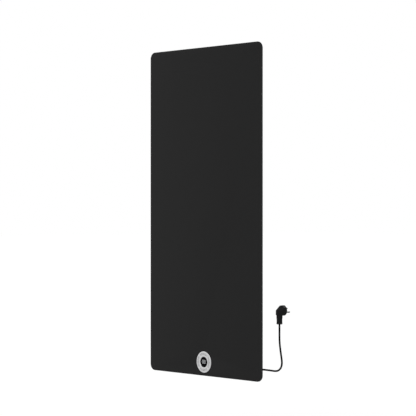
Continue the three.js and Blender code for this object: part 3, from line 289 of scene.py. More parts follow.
class Paint(Sheet):
    def __init__(self, name):
        self.material = bpy.data.materials.new(name)
        self.material.use_nodes = True
        super().__init__(self.material.node_tree)
        self.place = self.add("ShaderNodeTexCoord", out="Object")

    def noise(self, scale, detail=3, stretch=None):
        place = self.place
        if stretch:
            place = self.add("ShaderNodeVectorMath", {"operation": "MULTIPLY"}, {0: place, 1: stretch})
        feeds = {"Vector": place, "Scale": scale, "Detail": detail, "Roughness": 0.55}
        return self.add("ShaderNodeTexNoise", {}, feeds)

    def cells(self, scale, feature="F1", out="Distance"):
        feeds = {"Vector": self.place, "Scale": scale}
        return self.add("ShaderNodeTexVoronoi", {"feature": feature}, feeds, out)

    def flakes(self, scale):
        # one level for each cell
        return self.add("ShaderNodeSeparateColor", {}, {0: self.cells(scale, out="Color")})

    def axis(self, letter, vector=None):
        return self.add("ShaderNodeSeparateXYZ", {}, {0: vector or self.place}, letter)

    def steps(self, value, low, high, first=0, last=1):
        feeds = {"Value": value, "From Min": low, "From Max": high, "To Min": first, "To Max": last}
        return self.add("ShaderNodeMapRange", {"interpolation_type": "SMOOTHSTEP"}, feeds)

    def blend(self, share, first, second):
        ends = [value if isinstance(value, Wire) else (*value, 1) for value in (first, second)]
        return self.add("ShaderNodeMix", {"data_type": "RGBA"}, {0: share, 6: ends[0], 7: ends[1]}, 2)

    def shade(self, colour, change):
        # the colour, darker or lighter by the share that change says
        spread = self.add("ShaderNodeCombineXYZ", {}, {0: change, 1: change, 2: change})
        return self.add("ShaderNodeVectorMath", {"operation": "MULTIPLY"}, {0: colour, 1: spread})

    def finish(self, base, rough, metal=0, bumps=(), **others):
        # bumps are pairs of a height and its depth in microns
        feeds = {"Base Color": base, "Roughness": rough, "Metallic": metal}
        feeds.update({label.replace("_", " "): value for label, value in others.items()})
        under = {}
        for height, depth in bumps:
            bump = {"Height": height, "Distance": depth * micron, "Strength": 1, **under}
            under = {"Normal": self.add("ShaderNodeBump", {}, bump)}
        shader = self.add("ShaderNodeBsdfPrincipled", {}, {**feeds, **under})
        self.add("ShaderNodeOutputMaterial", {}, {"Surface": shader})
        return self.material


def satinGlass():
    # etched black glass: a fine frosted face, with the ground edge a little more open
    paint = Paint("satinGlass")
    normal = paint.add("ShaderNodeNewGeometry", out="Normal")
    edge = paint.steps(abs(paint.axis("Y", normal)), 0.9, 0.4)
    cloud = paint.noise(2.2, 2)
    grain = paint.noise(1400, 2)
    face = paint.shade(colours["glassFace"], 0.93 + 0.1 * cloud + 0.06 * grain)
    base = paint.blend(edge, face, colours["glassEdge"])
    rough = 0.5 + 0.06 * cloud + 0.05 * grain - 0.22 * edge
    return paint.finish(base, rough, 0, [(grain, 10)], Specular_IOR_Level=0.03)


def turnedSilver(centre):
    # satin metal with fine turning lines round its centre
    paint = Paint("satinSilver")
    across = paint.axis("X") - centre.x
    up = paint.axis("Z") - centre.z
    radius = (across * across + up * up) ** 0.5
    feeds = {"W": radius * 9000, "Scale": 1, "Detail": 2}
    lines = paint.add("ShaderNodeTexNoise", {"noise_dimensions": "1D"}, feeds)
    patch = paint.noise(60, 2)
    base = paint.shade(colours["bezelSilver"], 0.9 + 0.12 * lines + 0.06 * patch)
    return paint.finish(base, 0.27 + 0.08 * lines + 0.05 * patch, 1, [(lines, 12)])


def keyLacquer():
    # silver lacquer on plastic, with metal flake
    paint = Paint("keyLacquer")
    flake = paint.flakes(9000)
    grain = paint.noise(3000, 2)
    base = paint.shade(colours["keySilver"], 0.86 + 0.18 * flake + 0.08 * grain)
    return paint.finish(base, 0.34 + 0.1 * flake, 0.75, [(grain, 10)])


def lensGloss():
    # clear hard-coated window over black
    paint = Paint("lensGloss")
    haze = paint.noise(120, 3)
    ripple = paint.noise(40, 1)
    base = paint.shade(colours["window"], 0.9 + 0.2 * haze)
    return paint.finish(base, 0.07 + 0.05 * haze, 0, [(ripple, 20)], Specular_IOR_Level=0.012)


def litSegment():
    # light segments of the display
    paint = Paint("litSegment")
    even = 0.2 * paint.noise(700, 1)
    glow = paint.shade(colours["segmentGlow"], 0.88 + even)
    others = {"Emission_Color": glow, "Emission_Strength": 0.62, "Specular_IOR_Level": 0.1}
    return paint.finish(paint.shade(colours["segmentFilm"], 0.9 + even), 0.5, **others)


def inkMark():
    # printed symbols, worn a little thin
    paint = Paint("inkMark")
    wear = paint.noise(2500, 3)
    return paint.finish(paint.shade(colours["symbolInk"], 0.85 + 0.3 * wear), 0.5 + 0.1 * wear)


def zincSteel():
    # bright zinc plating: crystal patches, fine drawing lines and a few dull spots
    paint = Paint("zincSteel")
    patch = paint.flakes(260)
    drawn = paint.noise(900, 2, (0.05, 1, 1))
    dull = paint.steps(paint.noise(30, 4), 0.56, 0.72)
    base = paint.shade(colours["zinc"], 0.84 + 0.16 * patch + 0.12 * drawn - 0.12 * dull)
    rough = 0.3 + 0.1 * patch + 0.12 * drawn + 0.15 * dull
    return paint.finish(base, rough, 1, [(drawn, 10)])


def powderCoat():
    # matt powder coat over sheet steel, with a fine orange peel
    paint = Paint("powderCoat")
    peel = paint.noise(900, 2)
    fine = paint.noise(4200, 2)
    dust = paint.noise(7, 4)
    base = paint.shade(colours["powderCoat"], 0.85 + 0.14 * fine + 0.16 * dust)
    return paint.finish(base, 0.5 + 0.12 * fine + 0.06 * dust, 0, [(peel, 70), (fine, 10)])


def millAluminium():
    # rolled sheet with faint stains
    paint = Paint("millAluminium")
    rolled = paint.noise(700, 3, (1, 1, 0.03))
    stain = paint.noise(14, 4)
    base = paint.shade(colours["aluminium"], 0.82 + 0.14 * rolled + 0.1 * stain)
    return paint.finish(base, 0.3 + 0.16 * rolled + 0.1 * stain, 1, [(rolled, 12)])


def pinNickel():
    # nickel plating, its colour darkened as painted shade on the plug's pins and earth clip, with drawing
    # lines along the pin
    paint = Paint("pinNickel")
    drawn = paint.noise(1600, 2, (1, 0.04, 1))
    wear = paint.noise(300, 3)
    base = paint.shade(colours["darkNickel"], 0.7 + 0.3 * drawn + 0.3 * wear)
    return paint.finish(base, 0.3 + 0.1 * drawn + 0.1 * wear, 1, [(drawn, 8)])


def machinedBrass():
    # turning marks and light tarnish
    paint = Paint("machinedBrass")
    turned = paint.noise(2600, 2, (0.2, 1, 0.2))
    stain = paint.noise(180, 3)
    base = paint.shade(colours["brass"], 0.8 + 0.16 * turned + 0.12 * stain)
    return paint.finish(base, 0.26 + 0.16 * turned + 0.12 * stain, 1, [(turned, 10)])


def flatRibbon():
    # ribbon cable: a ridge over each of its side-by-side wires, with painted shade darkening the grooves
    # between them
    paint = Paint("flatRibbon")
    ridge = (paint.axis("Z") * 1600) % 1
    grain = paint.noise(1500, 2)
    base = paint.shade(colours["ribbon"], 0.75 + 0.25 * ridge + 0.06 * grain)
    return paint.finish(base, 0.45 + 0.1 * grain, 0, [(ridge, 250)])


def stackedSteel():
    # edges of stacked core sheets, dark with varnish
    paint = Paint("stackedSteel")
    layer = (paint.axis("Y") * 3000) % 1
    stain = paint.noise(400, 3)
    base = paint.shade(colours["coreSteel"], 0.6 + 0.3 * layer + 0.3 * stain)
    return paint.finish(base, 0.42 + 0.2 * stain, 0.8, [(layer, 40)])


def mouldedPlastic(name, rough=0.46, texture=2600, depth=20, specular=0.5):
    # moulded plastic with a fine eroded texture and faint flow marks
    paint = Paint(name)
    erosion = paint.noise(texture, 2)
    flow = paint.noise(24, 3, (1, 1, 0.35))
    base = paint.shade(colours[name], 0.9 + 0.12 * erosion + 0.1 * flow)
    rough = rough + 0.1 * erosion + 0.06 * flow
    return paint.finish(base, rough, 0, [(erosion, depth)], Specular_IOR_Level=specular)


def softRubber(name, rough=0.7, specular=0.25):
    # matt rubber with bloom in patches
    paint = Paint(name)
    grain = paint.noise(3200, 3)
    bloom = paint.steps(paint.noise(90, 4), 0.45, 0.75)
    base = paint.shade(colours[name], 0.88 + 0.14 * grain + 0.25 * bloom)
    return paint.finish(base, rough + 0.1 * grain, 0, [(grain, 25)], Specular_IOR_Level=specular)


def circuitBoard():
    # green solder mask over copper: raised tracks and small plated holes
    paint = Paint("circuitBoard")
    track = paint.steps(paint.cells(260, "DISTANCE_TO_EDGE"), 0.1, 0.16, 1, 0)
    pad = paint.steps(paint.cells(330), 0.16, 0.2, 1, 0)
    grain = paint.noise(2000, 2)
    mask = paint.blend(track, colours["solderMask"], colours["maskOnTrack"])
    base = paint.blend(pad, mask, colours["tinnedPad"])
    return paint.finish(base, 0.32 + 0.1 * grain, pad * 0.9, [(track, 40), (grain, 10)])


def coilTape():
    # polyester tape round a coil, in laps, with painted shade darkening the dips between them
    paint = Paint("coilTape")
    lap = (paint.axis("Z") * 300) % 1
    grain = paint.noise(1500, 2)
    base = paint.shade(colours["coilTape"], 0.78 + 0.2 * lap + 0.1 * grain)
    return paint.finish(base, 0.32 + 0.12 * lap, 0, [(lap, 80)])


def mineralWool():
    # felted fibres with darker binder spots
    paint = Paint("mineralWool")
    fibre = paint.noise(900, 5, (1, 1, 0.25))
    cross = paint.noise(900, 5, (0.25, 1, 1))
    binder = paint.steps(paint.noise(60, 5), 0.5, 0.7)
    mix = fibre * 0.5 + cross * 0.5
    base = paint.blend(binder, paint.shade(colours["wool"], 0.6 + 0.8 * mix), colours["woolBinder"])
    return paint.finish(base, 0.92 + 0.06 * mix, 0, [(mix, 600)], Specular_IOR_Level=0.1)


def earthWire():
    # green insulation with a yellow stripe that winds round it
    paint = Paint("earthWire")
    stripe = paint.steps((paint.axis("Z") * 60 + paint.axis("X") * 60) % 1, 0.55, 0.6)
    grain = paint.noise(2500, 2)
    base = paint.blend(stripe, colours["earthGreen"], colours["earthYellow"])
    return paint.finish(base, 0.42 + 0.1 * grain, 0, [(grain, 10)])


dialCentre = middleOf("control_bezel")
dialX, dialZ = dialCentre.x, dialCentre.z
finishes = {
    "satin_glass": satinGlass(),
    "satin_silver": turnedSilver(toRow @ dialCentre),
    "zinc_steel": zincSteel(),
    "casing_paint": powderCoat(),
    "bare_aluminium": millAluminium(),
    "brass": machinedBrass(),
    "black_plastic": mouldedPlastic("blackPlastic"),
    "box_plastic": mouldedPlastic("boxPlastic", 0.5, 1900, 40),
    "plug_plastic": mouldedPlastic("plugPlastic", 0.42, 2400, 15, 0.04),
    "lens_black": lensGloss(),
    "key_silver": keyLacquer(),
    "black_rubber": softRubber("blackRubber"),
    "cord_sheath": softRubber("cordSheath", 0.7, 0.02),
    "grey_silicone": softRubber("greySilicone", 0.62),
    "red_silicone": softRubber("redSilicone", 0.55),
    "white_plastic": mouldedPlastic("whitePlastic", 0.4),
    "wire_white": mouldedPlastic("whiteWire", 0.42),
    "wire_green_yellow": earthWire(),
    "circuit_board": circuitBoard(),
    "coil_tape": coilTape(),
    "mineral_wool": mineralWool(),
}
# finishes of small pieces, beside those that the record's slots name
extraFinishes = {
    "plugNickel": pinNickel(),
    "segmentLight": litSegment(),
    "symbolInk": inkMark(),
    "ribbonGrey": flatRibbon(),
    "coreSteel": stackedSteel(),
    "brownWire": mouldedPlastic("brownWire", 0.42),
    "blueWire": mouldedPlastic("blueWire", 0.42),
}
nodeSlots = {row["node"]: row["material_slot"] for row in frame["record"]["subparts"]}
for node, solid in frame["nodes"].items():
    solid.data.materials.clear()
    solid.data.materials.append(finishes[nodeSlots[node]])
print("materials are made:", len(finishes) + len(extraFinishes))


# Mesh tools


def tidied(mesh, gap=1e-4):
    # one closed skin: doubles merged and every face turned outwards
    build = bmesh.new()
    build.from_mesh(mesh)
    bmesh.ops.remove_doubles(build, verts=build.verts, dist=gap)
    bmesh.ops.dissolve_degenerate(build, edges=build.edges, dist=gap / 10)
    bmesh.ops.recalc_face_normals(build, faces=build.faces)
    build.to_mesh(mesh)
    build.free()
    return mesh


def fromPoints(name, points, faces):
    mesh = bpy.data.meshes.new(name)
    mesh.from_pydata(points, [], faces)
    return link(name, tidied(mesh))


def fromCurve(curve, gap=1e-4):
    # the curve's own surface as a mesh
    holder = link(curve.name, curve)
    mesh = bpy.data.meshes.new_from_object(holder)
    remove(holder)
    return link(curve.name, tidied(mesh, gap))


def baked(solid):
    # the solid with its modifiers applied
    depsgraph = bpy.context.evaluated_depsgraph_get()
    mesh = bpy.data.meshes.new_from_object(solid.evaluated_get(depsgraph))
    solid.modifiers.clear()
    solid.data = mesh
    return solid


def remove(*solids):
    for solid in solids:
        bpy.data.objects.remove(solid)


def softEdges(solid, width, segments=2, angle=40):
    bevel = solid.modifiers.new("soft", "BEVEL")
    bevel.width = width
    bevel.segments = segments
    bevel.limit_method = "ANGLE"
    bevel.angle_limit = math.radians(angle)
    return baked(solid)


def carve(solid, tools, operation="DIFFERENCE"):
    for tool in tools:
        change = solid.modifiers.new("carve", "BOOLEAN")
        change.operation = operation
        change.solver = "EXACT"
        change.object = tool
        baked(solid)
    remove(*tools)
    tidied(solid.data)
    return solid


def joined(*solids):
    # several solids as one mesh, each still its own closed skin
    build = bmesh.new()
    for solid in solids:
        build.from_mesh(solid.data)
    mesh = bpy.data.meshes.new("joined")
    build.to_mesh(mesh)
    build.free()
    remove(*solids)
    return link("joined", mesh)


def dress(solid, name, slot, *nodes, body="heater", smooth=38, material=None):
    # takes a solid in millimetres to its place, and gives it its finish, body and slot
    solid.name = name
    solid.data.name = name
    solid.data.transform(toRow)
    solid.data.materials.clear()
    solid.data.materials.append(material or finishes[slot])
    solid.data.shade_smooth()
    solid.data.set_sharp_from_angle(angle=math.radians(smooth))
    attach(solid, body)
    if nodes:
        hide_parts(*nodes)


def pieceName(node):
    first, *rest = node.split("_")
    return first + "".join(word.title() for word in rest)


def dressNode(solid, node, name=None, **others):
    # a piece in place of one node: it takes the node's slot, and its name where no other is given
    dress(solid, name or pieceName(node), nodeSlots[node], node, **others)


def circle(radius, steps, x=0, z=0):
    angles = [fullTurn * i / steps for i in range(steps)]
    return [(x + radius * math.cos(a), z + radius * math.sin(a)) for a in angles]


def dome(radius, rise, seat, first=0, steps=6):
    # the side of a dome, from its rim at the seat towards its top
    angles = [i * quarterTurn / steps for i in range(first, first + steps)]
    return [(radius * math.cos(a), seat + rise * math.sin(a)) for a in angles]


def puck(radius, bottom, top, ease):
    # half the outline of a disc with both its rims eased
    rims = [(radius - ease, bottom), (radius, bottom + ease), (radius, top - ease), (radius - ease, top)]
    return [(0, bottom), *rims, (0, top)]


def softened(corners, steps=4):
    # a closed outline of (u, v, fillet radius) corners with its corners rounded
    points = []
    for i, (u, v, radius) in enumerate(corners):
        here = Vector((u, v))
        before = (Vector(corners[i - 1][:2]) - here).normalized()
        after = (Vector(corners[(i + 1) % len(corners)][:2]) - here).normalized()
        half = before.angle(after, math.pi) / 2
        if radius <= 0 or half > math.radians(88):
            points.append((u, v))
            continue
        back = radius / math.tan(half)
        middle = here + (before + after).normalized() * radius / math.sin(half)
        first = here + before * back - middle
        turn = first.angle_signed(here + after * back - middle)
        for step in range(steps + 1):
            spun = Matrix.Rotation(-turn * step / steps, 2) @ first
            points.append(tuple(middle + spun))
    return points


def rectangle(left, right, bottom, top, radius, inset=0, steps=8):
    radius = max(radius - inset, 0.05)
    left, right, bottom, top = left + inset, right - inset, bottom + inset, top - inset
    corners = [(left, bottom), (right, bottom), (right, top), (left, top)]
    return softened([(u, v, radius) for u, v in corners], steps)


def sheetSolid(outlines, front, back, soft, softSteps=2):
    # a flat sheet with its holes, its edges rounded by soft
    curve = bpy.data.curves.new("sheet", "CURVE")
    curve.dimensions = "2D"
    curve.fill_mode = "BOTH"
    curve.extrude = (back - front) / 2 - soft
    curve.bevel_depth = soft
    curve.bevel_resolution = softSteps
    curve.offset = -soft
    for outline in outlines:
        addCorners(curve, [(u, v, 0) for u, v in outline]).use_cyclic_u = True
    sheet = fromCurve(curve, 1e-3)
    upright = Matrix.Rotation(quarterTurn, 4, "X")
    sheet.data.transform(Matrix.Translation((0, (front + back) / 2, 0)) @ upright)
    return sheet


def loft(rings, close=False):
    # rings of points with as many points each, skinned and capped, or closed on themselves
    count = len(rings[0])
    points = [point for ring in rings for point in ring]
    pairs = list(zip(range(len(rings)), range(1, len(rings))))
    if close:
        pairs.append((len(rings) - 1, 0))
    faces = []
    for first, second in pairs:
        here, there = first * count, second * count
        for i in range(count):
            j = (i + 1) % count
            faces.append((here + i, here + j, there + j, there + i))
    if not close:
        faces.append(tuple(range(count)))
        faces.append(tuple((len(rings) - 1) * count + i for i in range(count)))
    return fromPoints("loft", points, faces)


def tray(edges, radius, stations, steps):
    # a pressed or moulded tray: stations are (inset, depth) rings from its inside to its outside
    rings = []
    for inset, depth in stations:
        rings.append([(u, depth, v) for u, v in rectangle(*edges, radius, inset, steps)])
    return loft(rings)


def bend(inset, depth, radius, start, end, steps=5):
    # stations round a bend: its middle and radius, from one angle to another in degrees
    angles = [math.radians(start + (end - start) * i / steps) for i in range(steps + 1)]
    return [(inset - radius * math.cos(a), depth + radius * math.sin(a)) for a in angles]


def lathe(profile, steps, place, closed=False):
    # a profile of (radius, distance along the axis), turned, then put in place by a matrix
    rings = []
    for radius, along in profile:
        ring = circle(max(radius, 1e-3), steps)
        rings.append([place @ Vector((u, v, along)) for u, v in ring])
    return loft(rings, closed)


def alongDepth(x=0, z=0, start=0):
    return Matrix.Translation((x, start, z)) @ Matrix.Rotation(-quarterTurn, 4, "X")


def alongX(start=0, y=0, z=0):
    return Matrix.Translation((start, y, z)) @ Matrix.Rotation(quarterTurn, 4, "Y")


def alongHeight(x=0, y=0, start=0):
    return Matrix.Translation((x, y, start))


def rod(radius, start, end, place, steps=facets["small"]):
    return lathe([(radius, start), (radius, end)], steps, place)


def barAlongX(profile, left, right):
    # a closed (depth, height) profile run from left to right
    return loft([[(x, y, z) for y, z in profile] for x in (left, right)])


def block(left, right, front, back, bottom, top):
    return barAlongX([(front, bottom), (back, bottom), (back, top), (front, top)], left, right)


def blockAt(x, z, width, height, front, back, soft):
    half, rise = width / 2, height / 2
    return softEdges(block(x - half, x + half, front, back, z - rise, z + rise), soft)


def addCorners(curve, points):
    # a spline with straight stretches
    spline = curve.splines.new("POLY")
    spline.points.add(len(points) - 1)
    for knot, place in zip(spline.points, points):
        knot.co = (*place, 1)
    return spline


def addBends(curve, points, steps=8):
    # a spline that bends smoothly through its points
    spline = curve.splines.new("BEZIER")
    spline.bezier_points.add(len(points) - 1)
    spline.resolution_u = steps
    for knot, place in zip(spline.bezier_points, points):
        knot.co = place
        knot.handle_left_type = knot.handle_right_type = "AUTO"
    return spline


def wireCurve(name, radius, sideSteps):
    curve = bpy.data.curves.new(name, "CURVE")
    curve.dimensions = "3D"
    curve.bevel_depth = radius
    curve.bevel_resolution = sideSteps
    curve.use_fill_caps = True
    return curve


def swept(points, radius, steps, addSpline=addBends):
    # a round wire through points, as a mesh
    curve = wireCurve("wire", radius, steps // 4)
    addSpline(curve, points)
    return fromCurve(curve)


# Geometry node trees for what repeats


class Growth(Sheet):
    def __init__(self, name, inputs):
        super().__init__(bpy.data.node_groups.new(name, "GeometryNodeTree"))
        face = self.tree.interface
        for way in ("OUTPUT", "INPUT"):
            face.new_socket("Geometry", in_out=way, socket_type="NodeSocketGeometry")
        self.keys = {}
        for label, kind in {"Model": "Object", **inputs, "Material": "Material"}.items():
            socket = face.new_socket(label, in_out="INPUT", socket_type=f"NodeSocket{kind}")
            self.keys[label] = socket.identifier

    def given(self, label):
        return self.add("NodeGroupInput", out=label)

    def copies(self, points, scale):
        # the model at each point, made real and given its material
        model = self.add("GeometryNodeObjectInfo", {}, {"Object": self.given("Model")}, "Geometry")
        feeds = {"Points": points, "Instance": model, "Scale": scale}
        copies = self.add("GeometryNodeInstanceOnPoints", {}, feeds)
        real = self.add("GeometryNodeRealizeInstances", {}, {0: copies})
        feeds = {"Geometry": real, "Material": self.given("Material")}
        self.add("NodeGroupOutput", {}, {0: self.add("GeometryNodeSetMaterial", {}, feeds)})
        return self

    def grow(self, base, values):
        # runs the tree on a mesh of points, keeps the result as a plain mesh and drops the model
        holder = link(self.tree.name, base)
        modifier = holder.modifiers.new("growth", "NODES")
        modifier.node_group = self.tree
        for label, value in values.items():
            modifier[self.keys[label]] = value
        grown = baked(holder)
        remove(values["Model"])
        return grown


def copiesAtPoints():
    growth = Growth("copiesAtPoints", {"Size": "Float"})
    return growth.copies(growth.given("Geometry"), growth.given("Size"))


def rowOfCopies():
    # copies in a row, from their first width to their last
    widths = {"First Width": "Float", "Last Width": "Float"}
    growth = Growth("rowOfCopies", {"Count": "Int", "Start": "Vector", "Pitch": "Vector", **widths})
    count = growth.given("Count")
    feeds = {"Count": count, "Start Location": growth.given("Start"), "Offset": growth.given("Pitch")}
    line = growth.add("GeometryNodeMeshLine", {}, feeds)
    feeds = {
        "Value": growth.add("GeometryNodeInputIndex"),
        "From Max": count - 1,
        "To Min": growth.given("First Width"),
        "To Max": growth.given("Last Width"),
    }
    width = growth.add("ShaderNodeMapRange", {}, feeds)
    return growth.copies(line, growth.add("ShaderNodeCombineXYZ", {}, {"X": width, "Y": width, "Z": 1}))


pointTree = copiesAtPoints()
rowTree = rowOfCopies()


def atPoints(model, points, slot, size=1.0):
    base = bpy.data.meshes.new("points")
    base.from_pydata(points, [], [])
    return pointTree.grow(base, {"Model": model, "Size": size, "Material": finishes[slot]})


def inRow(model, count, start, pitch, slot, firstWidth=1.0, lastWidth=1.0):
    values = {
        "Model": model,
        "Count": count,
        "Start": tuple(start),
        "Pitch": tuple(pitch),
        "First Width": firstWidth,
        "Last Width": lastWidth,
        "Material": finishes[slot],
    }
    return rowTree.grow(bpy.data.meshes.new("row"), values)


def centredRow(model, count, pitch, slot, middle=(0, 0, 0)):
    # a row that spreads evenly to both sides of its middle
    pitch = Vector(pitch)
    return inRow(model, count, Vector(middle) - pitch * (count - 1) / 2, pitch, slot)


# Cord: its route repeats the points that the CAD model follows

cordSizes = {
    "diameter": 6.6,
    "intoPlug": 3,
    "intoGland": 4,
    "length": 0.264,  # in metres
    "curveSteps": 12,
    "sideSteps": 6,
}
cordRoute = [
    (258.6, 23.05, 42.2), (268, 23.1, 42.2), (280, 23.7, 42), (293, 24.9, 41.7), (306, 26.4, 41.4),
    (319, 27.9, 40.9), (330, 29.1, 40.4), (338.8, 29.9, 40.5), (349.1, 30.3, 42.4), (358.3, 30.6, 47.4),
    (365.3, 30.7, 55.4), (368.9, 30.8, 65.2), (369.4, 30.8, 75.7), (368.4, 30.8, 83.1), (366.4, 30.8, 93.5),
    (364, 30.8, 106), (361.6, 30.8, 119), (359.4, 30.8, 132.5), (358, 30.8, 147), (357.5, 30.8, 164),
    (357.5, 30.8, 184), (357.5, 30.8, 205.3),
]


def makeCord():
    curve = wireCurve("mainsCord", cordSizes["diameter"] / 2 * mm, cordSizes["sideSteps"])
    first, last = Vector(cordRoute[0]), Vector(cordRoute[-1])
    first.x -= cordSizes["intoGland"]
    last.z += cordSizes["intoPlug"]
    route = [first, *cordRoute[1:-1], last]
    addBends(curve, [toRow @ Vector(place) for place in route], cordSizes["curveSteps"])
    curve.materials.append(finishes["cord_sheath"])
    cord = link("mainsCord", curve)
    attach(cord, "heater")
    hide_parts("power_cord")
    return cord


cord = makeCord()


# Front plate

plateSizes = {"radius": 24, "cornerSteps": 28, "arris": 0.9, "arrisSteps": 3, "hole": 37.0}


def makePlate():
    sizes = plateSizes
    low, high = boxOf("front_plate")
    outline = rectangle(*edgesOf("front_plate"), sizes["radius"], 0, sizes["cornerSteps"])
    hole = circle(sizes["hole"], facets["dial"], dialX, dialZ)
    dressNode(sheetSolid([outline, hole], low.y, high.y, sizes["arris"], sizes["arrisSteps"]), "front_plate")


makePlate()
print("cord and front plate are made")


# Seal, bonding frame and folded rear casing

casingSizes = {
    "flange": 12,
    "sheet": 1.2,
    "corner": 12,
    "cornerSteps": 12,
    "innerBend": 1.5,
    "screwHole": 1.9,
    "rivetHole": 2.4,
    "ductCollar": 2.5,
    "ductGap": 0.4,
}
bandSizes = {
    "bonding_frame": {"width": 20, "soft": 0.25},
    "seal_gasket": {"width": 12, "soft": 0.6},
    "cornerSteps": 16,
}
swageSizes = {
    "count": 3,
    "pitch": 130,
    "width": 12,
    "depth": 0.7,
    "foot": 190,
    "head": 930,
    "cornerSteps": 10,
    "soft": 0.5,
    "softSteps": 3,
}
screwNodes = [f"casing_screw_{i}" for i in range(1, 7)]
rivetNodes = ["hanger_rivet_1", "hanger_rivet_2"]


def depthRods(nodes, radius, front, back):
    # straight cutting rods along the depth, through the middle of each node
    return [rod(radius, front, back, alongDepth(middle.x, middle.z)) for middle in middlesOf(nodes)]


def ductPass(bottom, top):
    # a cutting block where the cable duct passes through a wall
    low, high = boxOf("cable_duct")
    room = casingSizes["ductCollar"] - casingSizes["ductGap"]
    return block(low.x + room, high.x - room, low.y + room, high.y - room, bottom, top)


def makeBand(node, radius, holes=()):
    # a flat band with an even width, round the plate's back
    low, high = boxOf(node)
    width, steps = bandSizes[node]["width"], bandSizes["cornerSteps"]
    outside = rectangle(*edgesOf(node), radius, 0, steps)
    inside = rectangle(*edgesOf(node, width), max(radius - width, radius / 2), 0, steps)
    dressNode(sheetSolid([outside, inside, *holes], low.y, high.y, bandSizes[node]["soft"]), node)


def makeBands():
    radius = casingSizes["corner"] + casingSizes["flange"]
    middles = middlesOf(screwNodes)
    holes = [circle(casingSizes["screwHole"], facets["hole"], middle.x, middle.z) for middle in middles]
    makeBand("bonding_frame", radius, holes)
    casingEdge, sealEdge = boxOf("rear_casing")[1].x, boxOf("seal_gasket")[1].x
    makeBand("seal_gasket", radius - casingEdge + sealEdge)


def swageTool(back, sheet):
    # cuts the long shallow beads that stiffen the casing's back
    sizes = swageSizes
    half = sizes["width"] / 2
    outline = rectangle(-half, half, sizes["foot"], sizes["head"], half, 0, sizes["cornerSteps"])
    depths = (back - sizes["depth"], back + sheet)
    groove = sheetSolid([outline], *depths, sizes["soft"], sizes["softSteps"])
    return centredRow(groove, sizes["count"], (sizes["pitch"], 0, 0), "casing_paint")


def makeCasing():
    sizes = casingSizes
    flange, sheet, inner = sizes["flange"], sizes["sheet"], sizes["innerBend"]
    low, high = boxOf("rear_casing")
    front, back, outer = low.y, high.y, inner + sheet
    stations = [
        *bend(outer, back - outer, inner, 90, 0),
        *bend(-inner, front + outer, outer, 180, 270), (-flange, front),
        (-flange, front + sheet), *bend(-inner, front + outer, inner, 270, 180),
        *bend(outer, back - outer, outer, 0, 90),
    ]
    casing = tray(edgesOf("rear_casing", flange), sizes["corner"], stations, sizes["cornerSteps"])
    tools = depthRods(screwNodes, sizes["screwHole"], front - sheet, front + 2 * sheet)
    tools += depthRods(rivetNodes, sizes["rivetHole"], back - 2 * sheet, back + sheet)
    wall = low.z + flange
    tools += [ductPass(wall - sheet, wall + 2 * sheet), swageTool(back, sheet)]
    dressNode(carve(casing, tools), "rear_casing")


makeBands()
makeCasing()
print("casing is made")


# Screws, rivets and rubber wall buffers

screwSizes = {
    "head": 3.6,
    "height": 2.2,
    "crown": 1.3,
    "shank": 1.5,
    "pointShare": 0.6,
    "point": 0.7,
    "socket": 1.25,
    "socketDepth": 1.3,
    "lobe": 0.26,
    "lobes": 6,
}
rivetSizes = {"head": 4, "height": 1.2, "shank": 2, "hollowShare": 0.6, "hollow": 0.1}
bufferSizes = {
    "radius": 10,
    "stem": 3.2,
    "stemShare": 0.8,
    "lip": 4.2,
    "lipHeight": 1.5,
    "lipEase": 0.3,
    "seatGap": 0.3,
    "ease": 0.8,
    "grooves": (4, 8, 12),
    "grooveDepth": 0.7,
    "grooveWidth": 1.6,
    "grooveEase": 0.5,
    "footEase": 1.2,
    "footRoll": (0.4, 0.3),
    "dimple": 3.2,
    "dimpleDepth": 3,
    "dimpleEase": 0.5,
}


def panScrew(shankLength):
    # a pan-head screw with a six-lobed socket, its head's underside at depth zero
    sizes = screwSizes
    head, height, shank = sizes["head"], sizes["height"], sizes["shank"]
    profile = [
        (0, -shankLength), (shank * sizes["pointShare"], -shankLength),
        (shank, sizes["point"] - shankLength), (shank, 0), (head, 0),
        *dome(head, sizes["crown"], height - sizes["crown"], 1),
    ]
    screw = lathe(profile, facets["head"], alongDepth())
    lobes = []
    for angle in [fullTurn * i / facets["cap"] for i in range(facets["cap"])]:
        reach = sizes["socket"] + sizes["lobe"] * math.cos(sizes["lobes"] * angle)
        lobes.append((reach * math.cos(angle), reach * math.sin(angle)))
    depths = (height - sizes["socketDepth"], height + overrun)
    return carve(screw, [loft([[(u, depth, v) for u, v in lobes] for depth in depths])])


def makeScrews(name, nodes):
    low, high = boxOf(nodes[0])
    underHead = high.y - screwSizes["height"]
    points = [(middle.x, underHead, middle.z) for middle in middlesOf(nodes)]
    dress(atPoints(panScrew(underHead - low.y), points, "zinc_steel"), name, "zinc_steel", *nodes)


def makeRivets():
    # a blind rivet: domed head, shank, and the flared blind side with its hollow
    sizes = rivetSizes
    low, high = boxOf(rivetNodes[0])
    head, height, shank = sizes["head"], sizes["height"], sizes["shank"]
    seat = high.y - low.y - height
    profile = [
        (0, 0), (head * sizes["hollowShare"], sizes["hollow"]),
        (head, height * sizes["hollowShare"]), (head, height), (shank, height),
        (shank, seat), *dome(head, height, seat), (0, seat + height),
    ]
    rivet = lathe(profile, facets["small"], alongDepth())
    points = [(middle.x, low.y, middle.z) for middle in middlesOf(rivetNodes)]
    dress(atPoints(rivet, points, "bare_aluminium"), "hangerRivets", "bare_aluminium", *rivetNodes)


